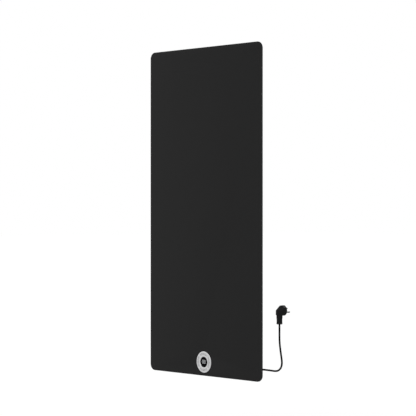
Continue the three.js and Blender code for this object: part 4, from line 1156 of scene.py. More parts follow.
def makeBuffer(node):
    # a rubber foot that snaps into the box's back, with grip grooves and a dimple at the wall
    sizes = bufferSizes
    low, high = boxOf(node)
    lip = low.y + sizes["lipHeight"]
    boxBack = boxOf("electronics_box")[1].y
    seat = boxBack + sizes["seatGap"]
    radius, stem, ease, slope = sizes["radius"], sizes["stem"], sizes["ease"], sizes["grooveEase"]
    profile = [
        (0, low.y), (stem * sizes["stemShare"], low.y),
        (sizes["lip"], lip - sizes["lipEase"]), (sizes["lip"], lip), (stem, lip),
        (stem, seat), (radius - ease, seat), (radius, seat + ease),
    ]
    for start in [boxBack + groove for groove in sizes["grooves"]]:
        end = start + sizes["grooveWidth"]
        floor = radius - sizes["grooveDepth"]
        profile += [(radius, start), (floor, start + slope), (floor, end - slope), (radius, end)]
    dimple, dimpleEase, (rollIn, rollBack) = sizes["dimple"], sizes["dimpleEase"], sizes["footRoll"]
    profile += [
        (radius, high.y - sizes["footEase"]), (radius - rollIn, high.y - rollBack),
        (radius - sizes["footEase"], high.y), (dimple + dimpleEase, high.y),
        (dimple, high.y - dimpleEase), (0, high.y - sizes["dimpleDepth"]),
    ]
    middle = middleOf(node)
    dressNode(lathe(profile, facets["cap"], alongDepth(middle.x, middle.z)), node)


makeScrews("casingScrews", screwNodes)
makeScrews("boxScrews", [f"box_screw_{side}" for side in sides])
makeRivets()
for side in sides:
    makeBuffer(f"wall_buffer_{side}")
print("fasteners and buffers are made")


# Hanger rail on the casing and the wall rail that it hooks on

railSizes = {
    "sheet": 2.5,
    "bend": 1.2,
    "edge": 0.5,
    "soft": 0.3,
    "hook": 15,
    "half": 20,
    "hole": 3.25,
    "countersink": 5.2,
    "holePlaces": (-125, -60, 60, 125),
}


def makeHangerRail():
    sheet, inner, edge = railSizes["sheet"], railSizes["bend"], railSizes["edge"]
    low, high = boxOf("hanger_rail")
    web, outer = high.z - sheet, sheet + inner
    profile = softened([
        (low.y, low.z, edge), (low.y + sheet, low.z, edge), (low.y + sheet, web, inner),
        (high.y - sheet, web, inner), (high.y - sheet, web - railSizes["hook"], edge),
        (high.y, web - railSizes["hook"], edge), (high.y, high.z, outer),
        (low.y, high.z, outer),
    ])
    rail = softEdges(barAlongX(profile, low.x, high.x), railSizes["soft"])
    holes = depthRods(rivetNodes, casingSizes["rivetHole"], low.y - overrun, low.y + sheet + overrun)
    dressNode(carve(rail, holes), "hanger_rail")


def makeWallRail():
    sheet, inner, edge = railSizes["sheet"], railSizes["bend"], railSizes["edge"]
    low, high = boxOf("wall_rail")
    middle = low.z + railSizes["half"]
    top, outer, face = middle + railSizes["half"], sheet + inner, high.y - sheet
    profile = softened([
        (face, low.z, edge), (high.y, low.z, edge), (high.y, top, outer),
        (low.y + sheet, top, inner), (low.y + sheet, high.z, edge), (low.y, high.z, edge),
        (low.y, top - sheet, outer), (face, top - sheet, inner),
    ])
    rail = softEdges(barAlongX(profile, low.x, high.x), railSizes["soft"])
    wide, narrow = railSizes["countersink"], railSizes["hole"]
    cone = [
        (wide + overrun, face - overrun), (wide, face), (narrow, face + wide - narrow),
        (narrow, high.y + overrun),
    ]
    holes = [lathe(cone, facets["head"], alongDepth(x, middle)) for x in railSizes["holePlaces"]]
    dressNode(carve(rail, holes), "wall_rail", body="wall_bracket")


makeHangerRail()
makeWallRail()
print("rails are made")


# Electronics box with its vents, and the room sensor below it

boxSizes = {
    "wall": 2.2,
    "corner": 8,
    "cornerSteps": 12,
    "edge": 2.2,
    "innerEdge": 1.2,
    "rim": 0.3,
    "glandHole": 6.4,
    "sensorHole": 4.4,
    "bufferHole": 3.6,
    "screwHole": 1.9,
    "collar": 6.4,
    "collarStep": 0.6,
    "collarFloor": 0.1,
    "collarRise": 0.45,
    "collarFlare": 0.5,
}
ventSizes = {"count": 6, "pitch": 9, "width": 3, "margin": 5, "fromSensor": 26.5, "cornerSteps": 6}


def screwCollar(middle, back):
    # a low raised ring round a screw hole, merged into the box's back
    sizes = boxSizes
    hole, collar, floor, rise = sizes["screwHole"], sizes["collar"], sizes["collarFloor"], sizes["collarRise"]
    step = collar - sizes["collarStep"]
    foot = (collar + sizes["collarFlare"], -overrun)
    profile = [(hole, -overrun), (hole, floor), (step, floor), (step, rise), (collar, rise), foot]
    return lathe(profile, facets["head"], alongDepth(middle.x, middle.z, back), True)


def ventTool(low, high):
    # cuts a row of round-ended slots through the box's floor
    sizes, wall = ventSizes, boxSizes["wall"]
    half = sizes["width"] / 2
    ends = (low.y + sizes["margin"], high.y - wall - sizes["margin"])
    outline = rectangle(-half, half, *ends, half, 0, sizes["cornerSteps"])
    heights = (low.z - overrun, low.z + wall + overrun)
    slot = loft([[(u, v, height) for u, v in outline] for height in heights])
    start = (middleOf("room_sensor").x + sizes["fromSensor"], 0, 0)
    return inRow(slot, sizes["count"], start, (sizes["pitch"], 0, 0), "box_plastic")


def makeBox():
    sizes = boxSizes
    low, high = boxOf("electronics_box")
    wall, edge, inner, rim = sizes["wall"], sizes["edge"], sizes["innerEdge"], sizes["rim"]
    stations = [
        *bend(wall + inner, high.y - wall - inner, inner, 90, 0), (wall, low.y + rim),
        (wall - rim, low.y), (rim, low.y), (0, low.y + rim),
        *bend(edge, high.y - edge, edge, 0, 90),
    ]
    shell = tray(edgesOf("electronics_box"), sizes["corner"], stations, sizes["cornerSteps"])
    screws = [f"box_screw_{side}" for side in sides]
    carve(shell, [screwCollar(middle, high.y) for middle in middlesOf(screws)], "UNION")
    through = (high.y - wall - overrun, high.y + overrun)
    tools = depthRods(screws, sizes["screwHole"], *through)
    tools += depthRods([f"wall_buffer_{side}" for side in sides], sizes["bufferHole"], *through)
    gland, sensor = middleOf("cord_gland"), middleOf("room_sensor")
    sideways, down = alongX(0, gland.y, gland.z), alongHeight(sensor.x, sensor.y)
    tools += [
        rod(sizes["glandHole"], high.x - wall - overrun, high.x + overrun, sideways, facets["cap"]),
        rod(sizes["sensorHole"], low.z - overrun, low.z + wall + overrun, down),
        ductPass(high.z - wall - overrun, high.z + overrun),
        ventTool(low, high),
    ]
    dressNode(carve(shell, tools), "electronics_box")


sensorSizes = {
    "radius": 4,
    "ease": 0.8,
    "flange": 6,
    "flangeThickness": 1.5,
    "flangeEase": 0.5,
    "slotPlaces": (-2.4, 0, 2.4),
    "slotWidth": 0.8,
    "slotReach": 2.6,
    "slotDepth": 0.7,
}


def makeSensor():
    # a small cap with slots for the room's air
    sizes = sensorSizes
    low, high = boxOf("room_sensor")
    middle, length = middleOf("room_sensor"), high.z - low.z
    radius, ease, flange, flangeEase = sizes["radius"], sizes["ease"], sizes["flange"], sizes["flangeEase"]
    profile = [
        (0, 0), (flange - flangeEase, 0), (flange, flangeEase),
        (flange, sizes["flangeThickness"]), (radius, sizes["flangeThickness"]),
        (radius, length - ease), (radius - ease, length), (0, length),
    ]
    cap = lathe(profile, facets["head"], alongHeight(middle.x, middle.y, low.z))
    half, reach = sizes["slotWidth"] / 2, sizes["slotReach"]
    depthEdges = (middle.y - reach, middle.y + reach)
    slots = []
    for x in [middle.x + place for place in sizes["slotPlaces"]]:
        slots.append(block(x - half, x + half, *depthEdges, low.z - overrun, low.z + sizes["slotDepth"]))
    dressNode(carve(cap, slots), "room_sensor")


makeBox()
makeSensor()
print("electronics box is made")


# Round control: bezel, four keys with their symbols, window and digits

dialSizes = {
    "window": 19.2,
    "windowLip": ((0, 0.9), (0.1, 0.6), (0.5, 0.2), (0.9, 0.1), (4, 0.06)),  # outwards and back from its edge
    "shelf": 0.14,
    "outerShelf": ((1, 0.02), (3.4, 0)),
    "rim": 38.9,
    "rimRoll": ((-1.1, 0.1), (-0.4, 0.38), (-0.05, 0.85)),
    "proud": 1.7,
    "floor": 1.2,
    "sleeve": 36.4,
    "sleeveWall": 2.8,
    "sleeveLength": 14,
    "bridgeSteps": 6,
    "soft": 0.22,
    "keyInner": 26.3,
    "keyOuter": 32.5,
    "keyHalf": 37,
    "gap": 0.3,
    "keyRecess": 0.7,
    "keyLip": 0.7,
    "keySteps": 26,
    "keySoft": 0.3,
    "dish": 0.06,
    "dishHalf": 1.6,
}
keyNodes = ["key_power", "key_up", "key_mode", "key_down"]
keyMiddle = (dialSizes["keyInner"] + dialSizes["keyOuter"]) / 2
keyFront = dialSizes["keyRecess"] - dialSizes["proud"]


def onDial(radius, angle, depth):
    return (dialX + radius * math.cos(angle), depth, dialZ + radius * math.sin(angle))


def makeBezel():
    # the ring's section, run round the dial and left open at the four windows that the keys stand in
    sizes = dialSizes
    window, rim, gap, floor, sleeve = [sizes[key] for key in ("window", "rim", "gap", "floor", "sleeve")]
    front, inner, outer = -sizes["proud"], sizes["keyInner"] - gap, sizes["keyOuter"] + gap
    shelf, sleeveInner = front + sizes["shelf"], sleeve - sizes["sleeveWall"]
    profile = [
        (window, floor),
        *[(window + out, front + back) for out, back in sizes["windowLip"]], (inner, shelf),
        (outer, shelf), *[(outer + out, front + back) for out, back in sizes["outerShelf"]],
        *[(rim + out, front + back) for out, back in sizes["rimRoll"]], (rim, -gap),
        (sleeve, -gap), (sleeve, sizes["sleeveLength"]),
        (sleeveInner, sizes["sleeveLength"]), (sleeveInner, floor), (outer, floor),
        (inner, floor),
    ]
    frontInner, frontOuter, backOuter, backInner = [
        profile.index(corner) for corner in ((inner, shelf), (outer, shelf), (outer, floor), (inner, floor))
    ]
    half = math.radians(sizes["keyHalf"]) + gap / sizes["keyInner"]
    bridge = quarterTurn - 2 * half
    steps, bridgeSteps = sizes["keySteps"], sizes["bridgeSteps"]
    angles = []
    for centre in [key * quarterTurn for key in range(len(keyNodes))]:
        angles += [(centre - half + 2 * half * i / steps, True) for i in range(steps)]
        angles += [(centre + half + bridge * i / bridgeSteps, False) for i in range(bridgeSteps)]
    points = [onDial(radius, angle, depth) for angle, isOpen in angles for radius, depth in profile]
    count = len(profile)
    faces = []
    for column, (angle, isOpen) in enumerate(angles):
        here, there = column * count, (column + 1) % len(angles) * count
        for i in range(count):
            j = (i + 1) % count
            if not (isOpen and i in (frontInner, backOuter)):
                faces.append((here + i, here + j, there + j, there + i))
        if isOpen:
            for first, last in ((frontInner, backInner), (backOuter, frontOuter)):
                faces.append((here + first, there + first, there + last, here + last))
        if isOpen != angles[column - 1][1]:
            faces.append(tuple(here + corner for corner in (frontInner, frontOuter, backOuter, backInner)))
    ring = fromPoints("bezel", points, faces)
    dressNode(softEdges(ring, sizes["soft"], segments=3, angle=50), "control_bezel")


def makeKey(index, node):
    # a curved key with a shallow dish along its face and a lip that holds it in the ring
    sizes = dialSizes
    inner, outer, lip = sizes["keyInner"], sizes["keyOuter"], sizes["keyLip"]
    step, back, dish = sizes["floor"] + sizes["gap"], boxOf(node)[1].y, keyFront + sizes["dish"]
    profile = [
        (inner, keyFront), (keyMiddle - sizes["dishHalf"], dish),
        (keyMiddle + sizes["dishHalf"], dish), (outer, keyFront), (outer, step),
        (outer + lip, step), (outer + lip, back), (inner - lip, back), (inner - lip, step),
        (inner, step),
    ]
    centre, half, steps = index * quarterTurn, math.radians(sizes["keyHalf"]), sizes["keySteps"]
    angles = [centre - half + 2 * half * i / steps for i in range(steps + 1)]
    key = loft([[onDial(radius, angle, depth) for radius, depth in profile] for angle in angles])
    dressNode(softEdges(key, sizes["keySoft"], segments=3, angle=50), node, body=node)


def flatShapes(shapes, front, thick=0.05):
    # printed or lit marks, each shape a list of outlines, a hair proud of the face behind them
    return joined(*[sheetSolid(shape, front - thick, front + thick / 4, thick / 4, 0) for shape in shapes])


def bar(x, z, width, height):
    half, rise = width / 2, height / 2
    return [(x - half, z - rise), (x + half, z - rise), (x + half, z + rise), (x - half, z + rise)]


def chevron(x, z, width, height, thick, way):
    half, rise = width / 2, height + thick
    points = [(-half, 0), (0, height), (half, 0), (half, thick), (0, rise), (-half, thick)]
    return [(x + u, z + way * (v - rise / 2)) for u, v in points][::way]


def openRing(x, z, radius, thick, gapDegrees):
    steps, half = facets["small"], math.radians(gapDegrees) / 2
    start, end = quarterTurn + half, quarterTurn + fullTurn - half
    angles = [start + (end - start) * i / steps for i in range(steps + 1)]
    outside, inside = [
        [(x + reach * math.cos(a), z + reach * math.sin(a)) for a in angles]
        for reach in (radius + thick / 2, radius - thick / 2)
    ]
    return outside + inside[::-1]


symbolSizes = {
    "width": 6.6,
    "height": 1.5,
    "line": 0.95,
    "thinLine": 0.665,
    "ring": 1.75,
    "ringGap": 70,
    "stem": 2,
    "barWidth": 3.2,
    "barPitch": 1.5,
}


def makeSymbols():
    sizes = symbolSizes
    thin, ring, pitch = sizes["thinLine"], sizes["ring"], sizes["barPitch"]
    left, right = dialX - keyMiddle, dialX + keyMiddle
    arrow = (sizes["width"], sizes["height"], sizes["line"])
    symbols = {
        "key_power": [
            openRing(right, dialZ, ring, thin, sizes["ringGap"]),
            bar(right, dialZ + ring, thin, sizes["stem"]),
        ],
        "key_up": [chevron(dialX, dialZ + keyMiddle, *arrow, 1)],
        "key_mode": [bar(left, dialZ + lift, sizes["barWidth"], thin) for lift in (-pitch, 0, pitch)],
        "key_down": [chevron(dialX, dialZ - keyMiddle, *arrow, -1)],
    }
    for node, outlines in symbols.items():
        marks = flatShapes([[outline] for outline in outlines], keyFront + dialSizes["dish"])
        name = pieceName(node.replace("key", "symbol"))
        dress(marks, name, "black_plastic", body=node, material=extraFinishes["symbolInk"])


lensSizes = {"gap": 0.4, "flange": 1.3, "ease": ((0.5, 0), (0.12, 0.15), (0, 0.5))}


def makeLens():
    low, high = boxOf("display_lens")
    radius, flange = dialSizes["window"] - lensSizes["gap"], reachOf("display_lens")
    flangeFront = high.y - lensSizes["flange"]
    profile = [
        (0, low.y), *[(radius - aside, low.y + back) for aside, back in lensSizes["ease"]],
        (radius, flangeFront), (flange, flangeFront), (flange, high.y), (0, high.y),
    ]
    dressNode(lathe(profile, facets["window"], alongDepth(dialX, dialZ)), "display_lens")


digitSizes = {
    "count": 2,
    "width": 7.6,
    "height": 14,
    "pitch": 8.6,
    "stroke": 1.9,
    "gap": 0.3,
    "right": 0.6,
    "lift": 1.3,
    "sink": 0.01,
    "markPlace": 12.6,
    "dash": (2, 0.8),
    "dot": 0.75,
    "dotDrop": 5,
    "ring": (1.3, 0.8),
    "ringLift": 6.2,
}


def segment(x, z, length, thick, upright):
    # a light bar with pointed ends
    half, reach = thick / 2, length / 2
    flat = reach - half
    points = [(-reach, 0), (-flat, -half), (flat, -half), (reach, 0), (flat, half), (-flat, half)]
    return [(x + (v if upright else u), z + (u if upright else v)) for u, v in points]


def makeDigits():
    # two seven-segment digits with all segments lit, a dash, a dot and a ring
    sizes = digitSizes
    stroke, gap, z = sizes["stroke"], sizes["gap"], dialZ + sizes["lift"]
    across, up = sizes["width"] - stroke, (sizes["height"] - stroke) / 2
    shapes = []
    for i in range(sizes["count"]):
        x = dialX + sizes["right"] + (i - (sizes["count"] - 1) / 2) * sizes["pitch"]
        shapes += [[segment(x, z + lift, across - gap, stroke, False)] for lift in (up, 0, -up)]
        for way in ways:
            aside = x + way * across / 2
            shapes += [[segment(aside, z + lift, up - gap, stroke, True)] for lift in (up / 2, -up / 2)]
    left, right = dialX - sizes["markPlace"], dialX + sizes["markPlace"]
    shapes.append([bar(left, z, *sizes["dash"])])
    shapes.append([circle(sizes["dot"], facets["hole"], right, dialZ - sizes["dotDrop"])])
    ringMiddle = (right, dialZ + sizes["ringLift"])
    shapes.append([circle(radius, facets["small"], *ringMiddle) for radius in sizes["ring"]])
    marks = flatShapes(shapes, boxOf("display_lens")[0].y - sizes["sink"])
    dress(marks, "displayDigits", "white_plastic", material=extraFinishes["segmentLight"])


makeBezel()
for index, node in enumerate(keyNodes):
    makeKey(index, node)
makeSymbols()
makeLens()
makeDigits()
print("control is made")


# Cord gland with its ribbed strain relief

glandSizes = {
    "flange": 9,
    "flangeThickness": 4,
    "flangeEase": 0.6,
    "neck": 6,
    "seatGap": 0.3,
    "seatEase": (0.4, 0.5),
    "root": 7,
    "rootEase": 0.9,
    "rootRise": 0.15,
    "tip": 4.3,
    "tipShare": 0.4,
    "tipEase": (0.3, 0.5),
    "mouth": 3.5,
    "mouthDepth": 6,
    "ribs": 7,
    "ribWidth": 2.4,
    "ribDepth": 0.9,
    "ribEase": 0.35,
    "ribRoot": 1,
    "firstRib": 2.8,
    "lastRib": 3,
}


def glandRibs(place, root, start, end):
    # ribs in a row, each narrower than the one before it, as the strain relief tapers
    sizes = glandSizes
    half, ease, crest = sizes["ribWidth"] / 2, sizes["ribEase"], sizes["root"]
    inner = root - sizes["ribRoot"]
    profile = [
        (inner, -half), (crest - ease, -half), (crest, ease - half), (crest, half - ease),
        (crest - ease, half), (inner, half),
    ]
    rib = lathe(profile, facets["handle"], Matrix.Identity(4), True)
    first, last, count = start + sizes["firstRib"], end - sizes["lastRib"], sizes["ribs"]
    pitch = (0, 0, (last - first) / (count - 1))
    ribs = inRow(rib, count, (0, 0, first), pitch, "black_rubber", 1.0, sizes["tip"] / crest)
    ribs.data.transform(place)
    return ribs


def makeGland():
    sizes = glandSizes
    low, high = boxOf("cord_gland")
    boxSide = boxOf("electronics_box")[1].x
    innerFace, outerFace = boxSide - boxSizes["wall"] - sizes["seatGap"], boxSide + sizes["seatGap"]
    flange, neck, mouth = sizes["flange"], sizes["neck"], sizes["mouth"]
    ease, rootEase = sizes["flangeEase"], sizes["rootEase"]
    cone = outerFace + sizes["flangeThickness"]
    root, tip = sizes["root"] - sizes["ribDepth"], sizes["tip"] - sizes["ribDepth"] * sizes["tipShare"]
    (seatIn, seatOut), (tipIn, tipBack) = sizes["seatEase"], sizes["tipEase"]
    profile = [
        (0, low.x), (flange - ease, low.x), (flange, low.x + ease), (flange, innerFace),
        (neck, innerFace), (neck, outerFace), (flange - seatIn, outerFace),
        (flange, outerFace + seatOut), (flange, cone - rootEase), (flange - rootEase, cone),
        (root + ease, cone + sizes["rootRise"]), (root, cone + rootEase),
        (tip, high.x - tipBack), (tip - tipIn, high.x), (mouth, high.x),
        (mouth, high.x - sizes["mouthDepth"]), (0, high.x - sizes["mouthDepth"]),
    ]
    middle = middleOf("cord_gland")
    place = alongX(0, middle.y, middle.z)
    core = lathe(profile, facets["handle"], place)
    dressNode(carve(core, [glandRibs(place, root, cone, high.x)], "UNION"), "cord_gland")


makeGland()


# Angled plug, worked out round its handle's axis, then turned a little about it and put in place

plugSizes = {
    "turn": -9.5,
    "radius": 18.3,
    "discThickness": 14.8,
    "faceShare": 0.93,
    "face": 21.2,
    "depth": 32.2,
    "backHalf": 8.7,
    "backRise": 2.8,
    "backDrop": 17,
    "backCorner": 4,
    "backMiddle": -7,
    "backShares": (0.86, 0.88),
    "backInset": 0.2,
    "handle": 10.1,
    "drop": 48,
    "shoulder": 10.8,
    "shoulderDrop": 28,
    "collar": 10.5,
    "collarHeight": 4.5,
    "top": 3,
    "edge": 1.2,
    "voxel": 0.55,
    "smoothing": 7,
    "smoothShare": 0.5,
    "cordHole": 3.7,
    "cordHoleDepth": 5,
}
gripSizes = {"count": 4, "pitch": 3.2, "radius": 0.75, "reach": 4}
pinSizes = {"radius": 2.4, "spacing": 19, "length": 18.95, "root": 8, "tilt": -40, "gap": 0.35, "socket": 3}
earthSizes = {
    "width": 6,
    "thickness": 0.9,
    "inset": 0.5,
    "depth": 12.4,
    "bridge": 1,
    "bow": ((0.8, 12.4), (0.7, 10), (0, 7), (0, 5), (0.6, 2.4), (1, 1.4)),  # inwards and back from the face
    "grooveWidth": 6.8,
    "grooveDepth": 13,
    "grooveInset": 2.2,
}
plugFace = plugSizes["face"]
pinTilt = math.radians(pinSizes["tilt"])
pinPlaces = [
    (way * pinSizes["spacing"] / 2 * math.cos(pinTilt), way * pinSizes["spacing"] / 2 * math.sin(pinTilt))
    for way in ways
]
earthTurn = Matrix.Rotation(-pinTilt - quarterTurn, 4, "Y")
plugTop = boxOf("plug_body")[1].z - plugSizes["radius"]
plugTurn = Matrix.Rotation(math.radians(plugSizes["turn"]), 4, "Z")
plugPlace = Matrix.Translation((cordRoute[-1][0], cordRoute[-1][1], plugTop)) @ plugTurn


def plugSkin():
    # the round front, its slope to a narrow flat back, and the handle, as one soft skin
    sizes = plugSizes
    edge, share, middle = sizes["edge"], sizes["faceShare"], sizes["backMiddle"]
    back = plugFace - sizes["depth"] + sizes["backInset"]
    half, (wideShare, tallShare) = sizes["backHalf"], sizes["backShares"]
    build = bmesh.new()
    for u, v in rectangle(-half, half, -sizes["backDrop"], sizes["backRise"], sizes["backCorner"]):
        build.verts.new((u, back + edge, v))
        build.verts.new((u * wideShare, back, middle + (v - middle) * tallShare))
    for u, v in circle(sizes["radius"], facets["handle"]):
        build.verts.new((u, plugFace - sizes["discThickness"], v))
        build.verts.new((u, plugFace - edge, v))
        build.verts.new((u * share, plugFace, v * share))
    bmesh.ops.convex_hull(build, input=build.verts)
    mesh = bpy.data.meshes.new("plugSlope")
    build.to_mesh(mesh)
    build.free()
    body = link("plugSlope", tidied(mesh))
    bottom, collar, radius = -sizes["drop"], sizes["collar"], sizes["handle"]
    neck, shoulder = bottom + sizes["collarHeight"], -sizes["shoulderDrop"]
    profile = [
        (0, bottom), (collar - edge, bottom), (collar, bottom + edge), (collar, neck),
        (radius, neck + edge), (radius, shoulder), (sizes["shoulder"], shoulder + edge),
        (sizes["shoulder"], 0), (0, sizes["top"]),
    ]
    carve(body, [lathe(profile, facets["handle"], alongHeight())], "UNION")
    remesh = body.modifiers.new("skin", "REMESH")
    remesh.mode = "VOXEL"
    remesh.voxel_size = sizes["voxel"]
    smooth = body.modifiers.new("smooth", "SMOOTH")
    smooth.factor = sizes["smoothShare"]
    smooth.iterations = sizes["smoothing"]
    return baked(body)


def makePlugBody():
    sizes = plugSizes
    bottom, front = -sizes["drop"], plugFace + 2 * overrun
    socket = (pinSizes["radius"] + pinSizes["gap"], plugFace - pinSizes["socket"], front)
    tools = [rod(*socket, alongDepth(u, v)) for u, v in pinPlaces]
    cordHole = (sizes["cordHole"], bottom - overrun, bottom + sizes["cordHoleDepth"])
    tools.append(rod(*cordHole, alongHeight(), facets["cap"]))
    half, floor = earthSizes["grooveWidth"] / 2, plugFace - earthSizes["grooveDepth"]
    reaches = (sizes["radius"] - earthSizes["grooveInset"], sizes["radius"] + 2 * overrun)
    for way in ways:
        groove = block(*sorted(way * reach for reach in reaches), floor, front, -half, half)
        groove.data.transform(earthTurn)
        tools.append(groove)
    reach = sizes["backHalf"] + gripSizes["reach"]
    grip = rod(gripSizes["radius"], -reach, reach, alongX(), facets["grip"])
    middle = (0, plugFace - sizes["depth"], sizes["backMiddle"])
    tools.append(centredRow(grip, gripSizes["count"], (0, 0, gripSizes["pitch"]), "plug_plastic", middle))
    body = carve(plugSkin(), tools)
    body.data.transform(plugPlace)
    dressNode(body, "plug_body", smooth=50)


def makePins():
    radius, length, root = pinSizes["radius"], pinSizes["length"], pinSizes["root"]
    profile = [(0, -root), (radius, -root), *dome(radius, radius, length - radius), (0, length)]
    pin = lathe(profile, facets["head"], alongDepth(0, 0, plugFace))
    both = atPoints(pin, [(u, 0, v) for u, v in pinPlaces], "zinc_steel")
    both.data.transform(plugPlace)
    nodes = ("plug_pin_1", "plug_pin_2")
    dress(both, "plugPins", "zinc_steel", *nodes, material=extraFinishes["plugNickel"])


def makeEarthClip():
    # a sprung strip on each side of the plug, joined behind its face
    thick, half, depth = earthSizes["thickness"], earthSizes["width"] / 2, earthSizes["depth"]
    reach, bridge = plugSizes["radius"] - earthSizes["inset"], earthSizes["bridge"]
    outer = [(reach - aside, plugFace - back) for aside, back in earthSizes["bow"]]
    inner = [(u - thick, y) for u, y in outer[::-1]]
    strips = []
    for way in ways:
        strips.append(loft([[(way * u, y, v) for u, y in outer + inner] for v in (-half, half)]))
    back = plugFace - depth
    strips.append(block(bridge - reach, reach - bridge, back, back + bridge, -half, half))
    clip = joined(*strips)
    clip.data.transform(plugPlace @ earthTurn)
    dressNode(softEdges(clip, 0.2), "plug_earth_clip", material=extraFinishes["plugNickel"])


makePlugBody()
makePins()
makeEarthClip()
print("gland and plug are made")


# Inner parts that keep the CAD solid's own shape, with softer edges

softParts = {
    "heat_spreader": {"width": 0.2},
    "insulation_mat": {"width": 2.5},
    "cutout_clip": {"width": 0.2},
    "control_housing": {"width": 0.4},
    "display_module": {"width": 0.5},
    "control_ribbon": {"width": 0.15, "material": extraFinishes["ribbonGrey"]},
    "power_module_base": {"width": 0.4},
    "power_module_lid": {"width": 0.4},
    "relay": {"width": 0.7, "name": "boardRelay"},
    "cord_clamp": {"width": 0.6},
    "cable_duct": {"width": 0.5},
}


def makeSoft(node, width, **others):
    mesh = frame["nodes"][node].data.copy()
    mesh.transform(toRow.inverted())
    tidied(mesh, 1e-3)
    build = bmesh.new()
    build.from_mesh(mesh)
    bmesh.ops.dissolve_limit(build, angle_limit=math.radians(1), verts=build.verts, edges=build.edges)
    build.to_mesh(mesh)
    build.free()
    dressNode(softEdges(link("softened", mesh), width, angle=30), node, **others)


for node, values in softParts.items():
    makeSoft(node, **values)
print("plain inner parts are made")


# Heating cable, and the leads with their splices and cores

cableSizes = {"pitch": 39, "margin": 12, "bendSteps": 24, "radius": 1.5}
leadRadii = {
    "element_lead_left": 1.3,
    "element_lead_right": 1.3,
    "cutout_lead": 1.3,
    "earth_lead": 1.3,
    "sensor_lead": 1.2,
    "mains_lead": 3.3,
}
leadRoutes = {
    "element_lead_left": [
        (-175.5, 10.6, 148.7), (-176.5, 10.6, 140.2), (-171.6, 10.6, 133.8), (-163.5, 10.6, 131.2),
        (-155, 10.6, 129.6), (-146.6, 10.6, 128.3), (-138, 10.5, 127.5), (-129.5, 10.5, 127.9),
        (-121.4, 10.8, 130.7), (-114.6, 11.3, 135.9), (-108.2, 11.9, 141.5), (-100.9, 12.4, 145.8),
        (-92.4, 12.5, 147.1), (-83.9, 12.5, 146.6), (-75.3, 12.4, 146),
    ],
    "element_lead_right": [
        (143.4, 24, 78.3), (143.4, 24, 85.2), (143.4, 24, 92), (143.3, 24, 98.9), (143, 24.3, 105.7),
        (142.8, 24.5, 112.6), (144.3, 23.1, 119.1), (147.1, 20.4, 124.7), (151.5, 17.3, 128.9),
        (157.5, 14.3, 129.3), (163.9, 11.7, 128.4), (170.1, 10.3, 130.3), (174.8, 10.6, 135.3),
        (176.1, 10.6, 141.9), (175.5, 10.6, 148.7),
    ],
    "cutout_lead": [
        (-44.7, 12.4, 146), (-29.2, 12.2, 146.3), (-13.7, 12, 146.6), (1.8, 12.6, 145.7), (17, 14.4, 143),
        (32, 16.7, 139.7), (47, 18.9, 136.5), (62.1, 21.2, 133.8), (77.2, 23.2, 130.8), (92.3, 24.3, 127.5),
        (107.6, 24.4, 124.7), (122.6, 24.1, 120.7), (130.8, 24, 109.2), (129.4, 24, 93.8), (129.4, 24, 78.3),
    ],
    "earth_lead": [
        (136.4, 24, 78.3), (136.4, 24, 83.4), (136.4, 24, 88.6), (136.4, 24, 93.7), (136.3, 24, 98.9),
        (136.1, 23.9, 104), (135.8, 23.9, 109.2), (136, 23.9, 114.3), (137.5, 24.3, 119.1),
        (140.3, 25, 123.4), (142.8, 25.6, 127.9), (143, 25.8, 132.9), (142.2, 25.7, 138),
        (144.6, 25.7, 141.6), (149.7, 25.7, 141),
    ],
    "sensor_lead": [
        (-150, 20.3, 18.5), (-151.3, 20.4, 28.5), (-147.3, 19.9, 37.1), (-138.6, 18.8, 42.1),
        (-129.3, 17.7, 45.7), (-119.7, 16.7, 48.4), (-109.9, 16.1, 50.5), (-99.8, 15.9, 51.1),
        (-89.8, 16, 50.6), (-79.8, 16.2, 50.1), (-59.7, 16.2, 50), (-29.5, 16.2, 50),
    ],
    "mains_lead": [
        (214.2, 23.1, 42.2), (207.5, 23.1, 42.2), (200.8, 23.1, 42.2), (194.1, 23.2, 42.2),
        (187.4, 23.3, 42.2), (180.7, 23.3, 42.2), (174, 23.1, 42.2), (167.4, 22.4, 41.9),
        (160.8, 21.4, 41.4), (154.2, 20.7, 42.4), (148, 20.5, 45), (142.2, 20.6, 48.3), (138.2, 20.7, 52.2),
    ],
}


def makeCable():
    # straight runs up and down the panel, joined by half turns
    sizes = cableSizes
    low, high = boxOf("heating_cable")
    depth, radius, pitch, steps = (low.y + high.y) / 2, sizes["radius"], sizes["pitch"], sizes["bendSteps"]
    left, right = low.x + radius, high.x - radius
    bendLow = boxOf("insulation_mat")[0].z + sizes["margin"] + pitch / 2
    bendHigh = high.z - radius - pitch / 2
    route = [(left, depth, low.z)]
    for run in range(round((right - left) / pitch)):
        middle = left + (run + 0.5) * pitch
        level, way = (bendLow, -1) if run % 2 else (bendHigh, 1)
        for angle in [math.pi * step / steps for step in range(steps + 1)]:
            lift = way * pitch / 2 * math.sin(angle)
            route.append((middle - pitch / 2 * math.cos(angle), depth, level + lift))
    route.append((right, depth, low.z))
    dressNode(swept(route, radius, facets["wire"], addCorners), "heating_cable")


def makeLeads():
    for node, radius in leadRadii.items():
        dressNode(swept(leadRoutes[node], radius, facets["wire"]), node)


spliceSizes = {
    "radius": 3,
    "length": 24,
    "mouth": 1.9,
    "waist": 2.1,
    "waistPlace": 1.6,
    "shoulder": 4,
    "gap": 0.3,
}


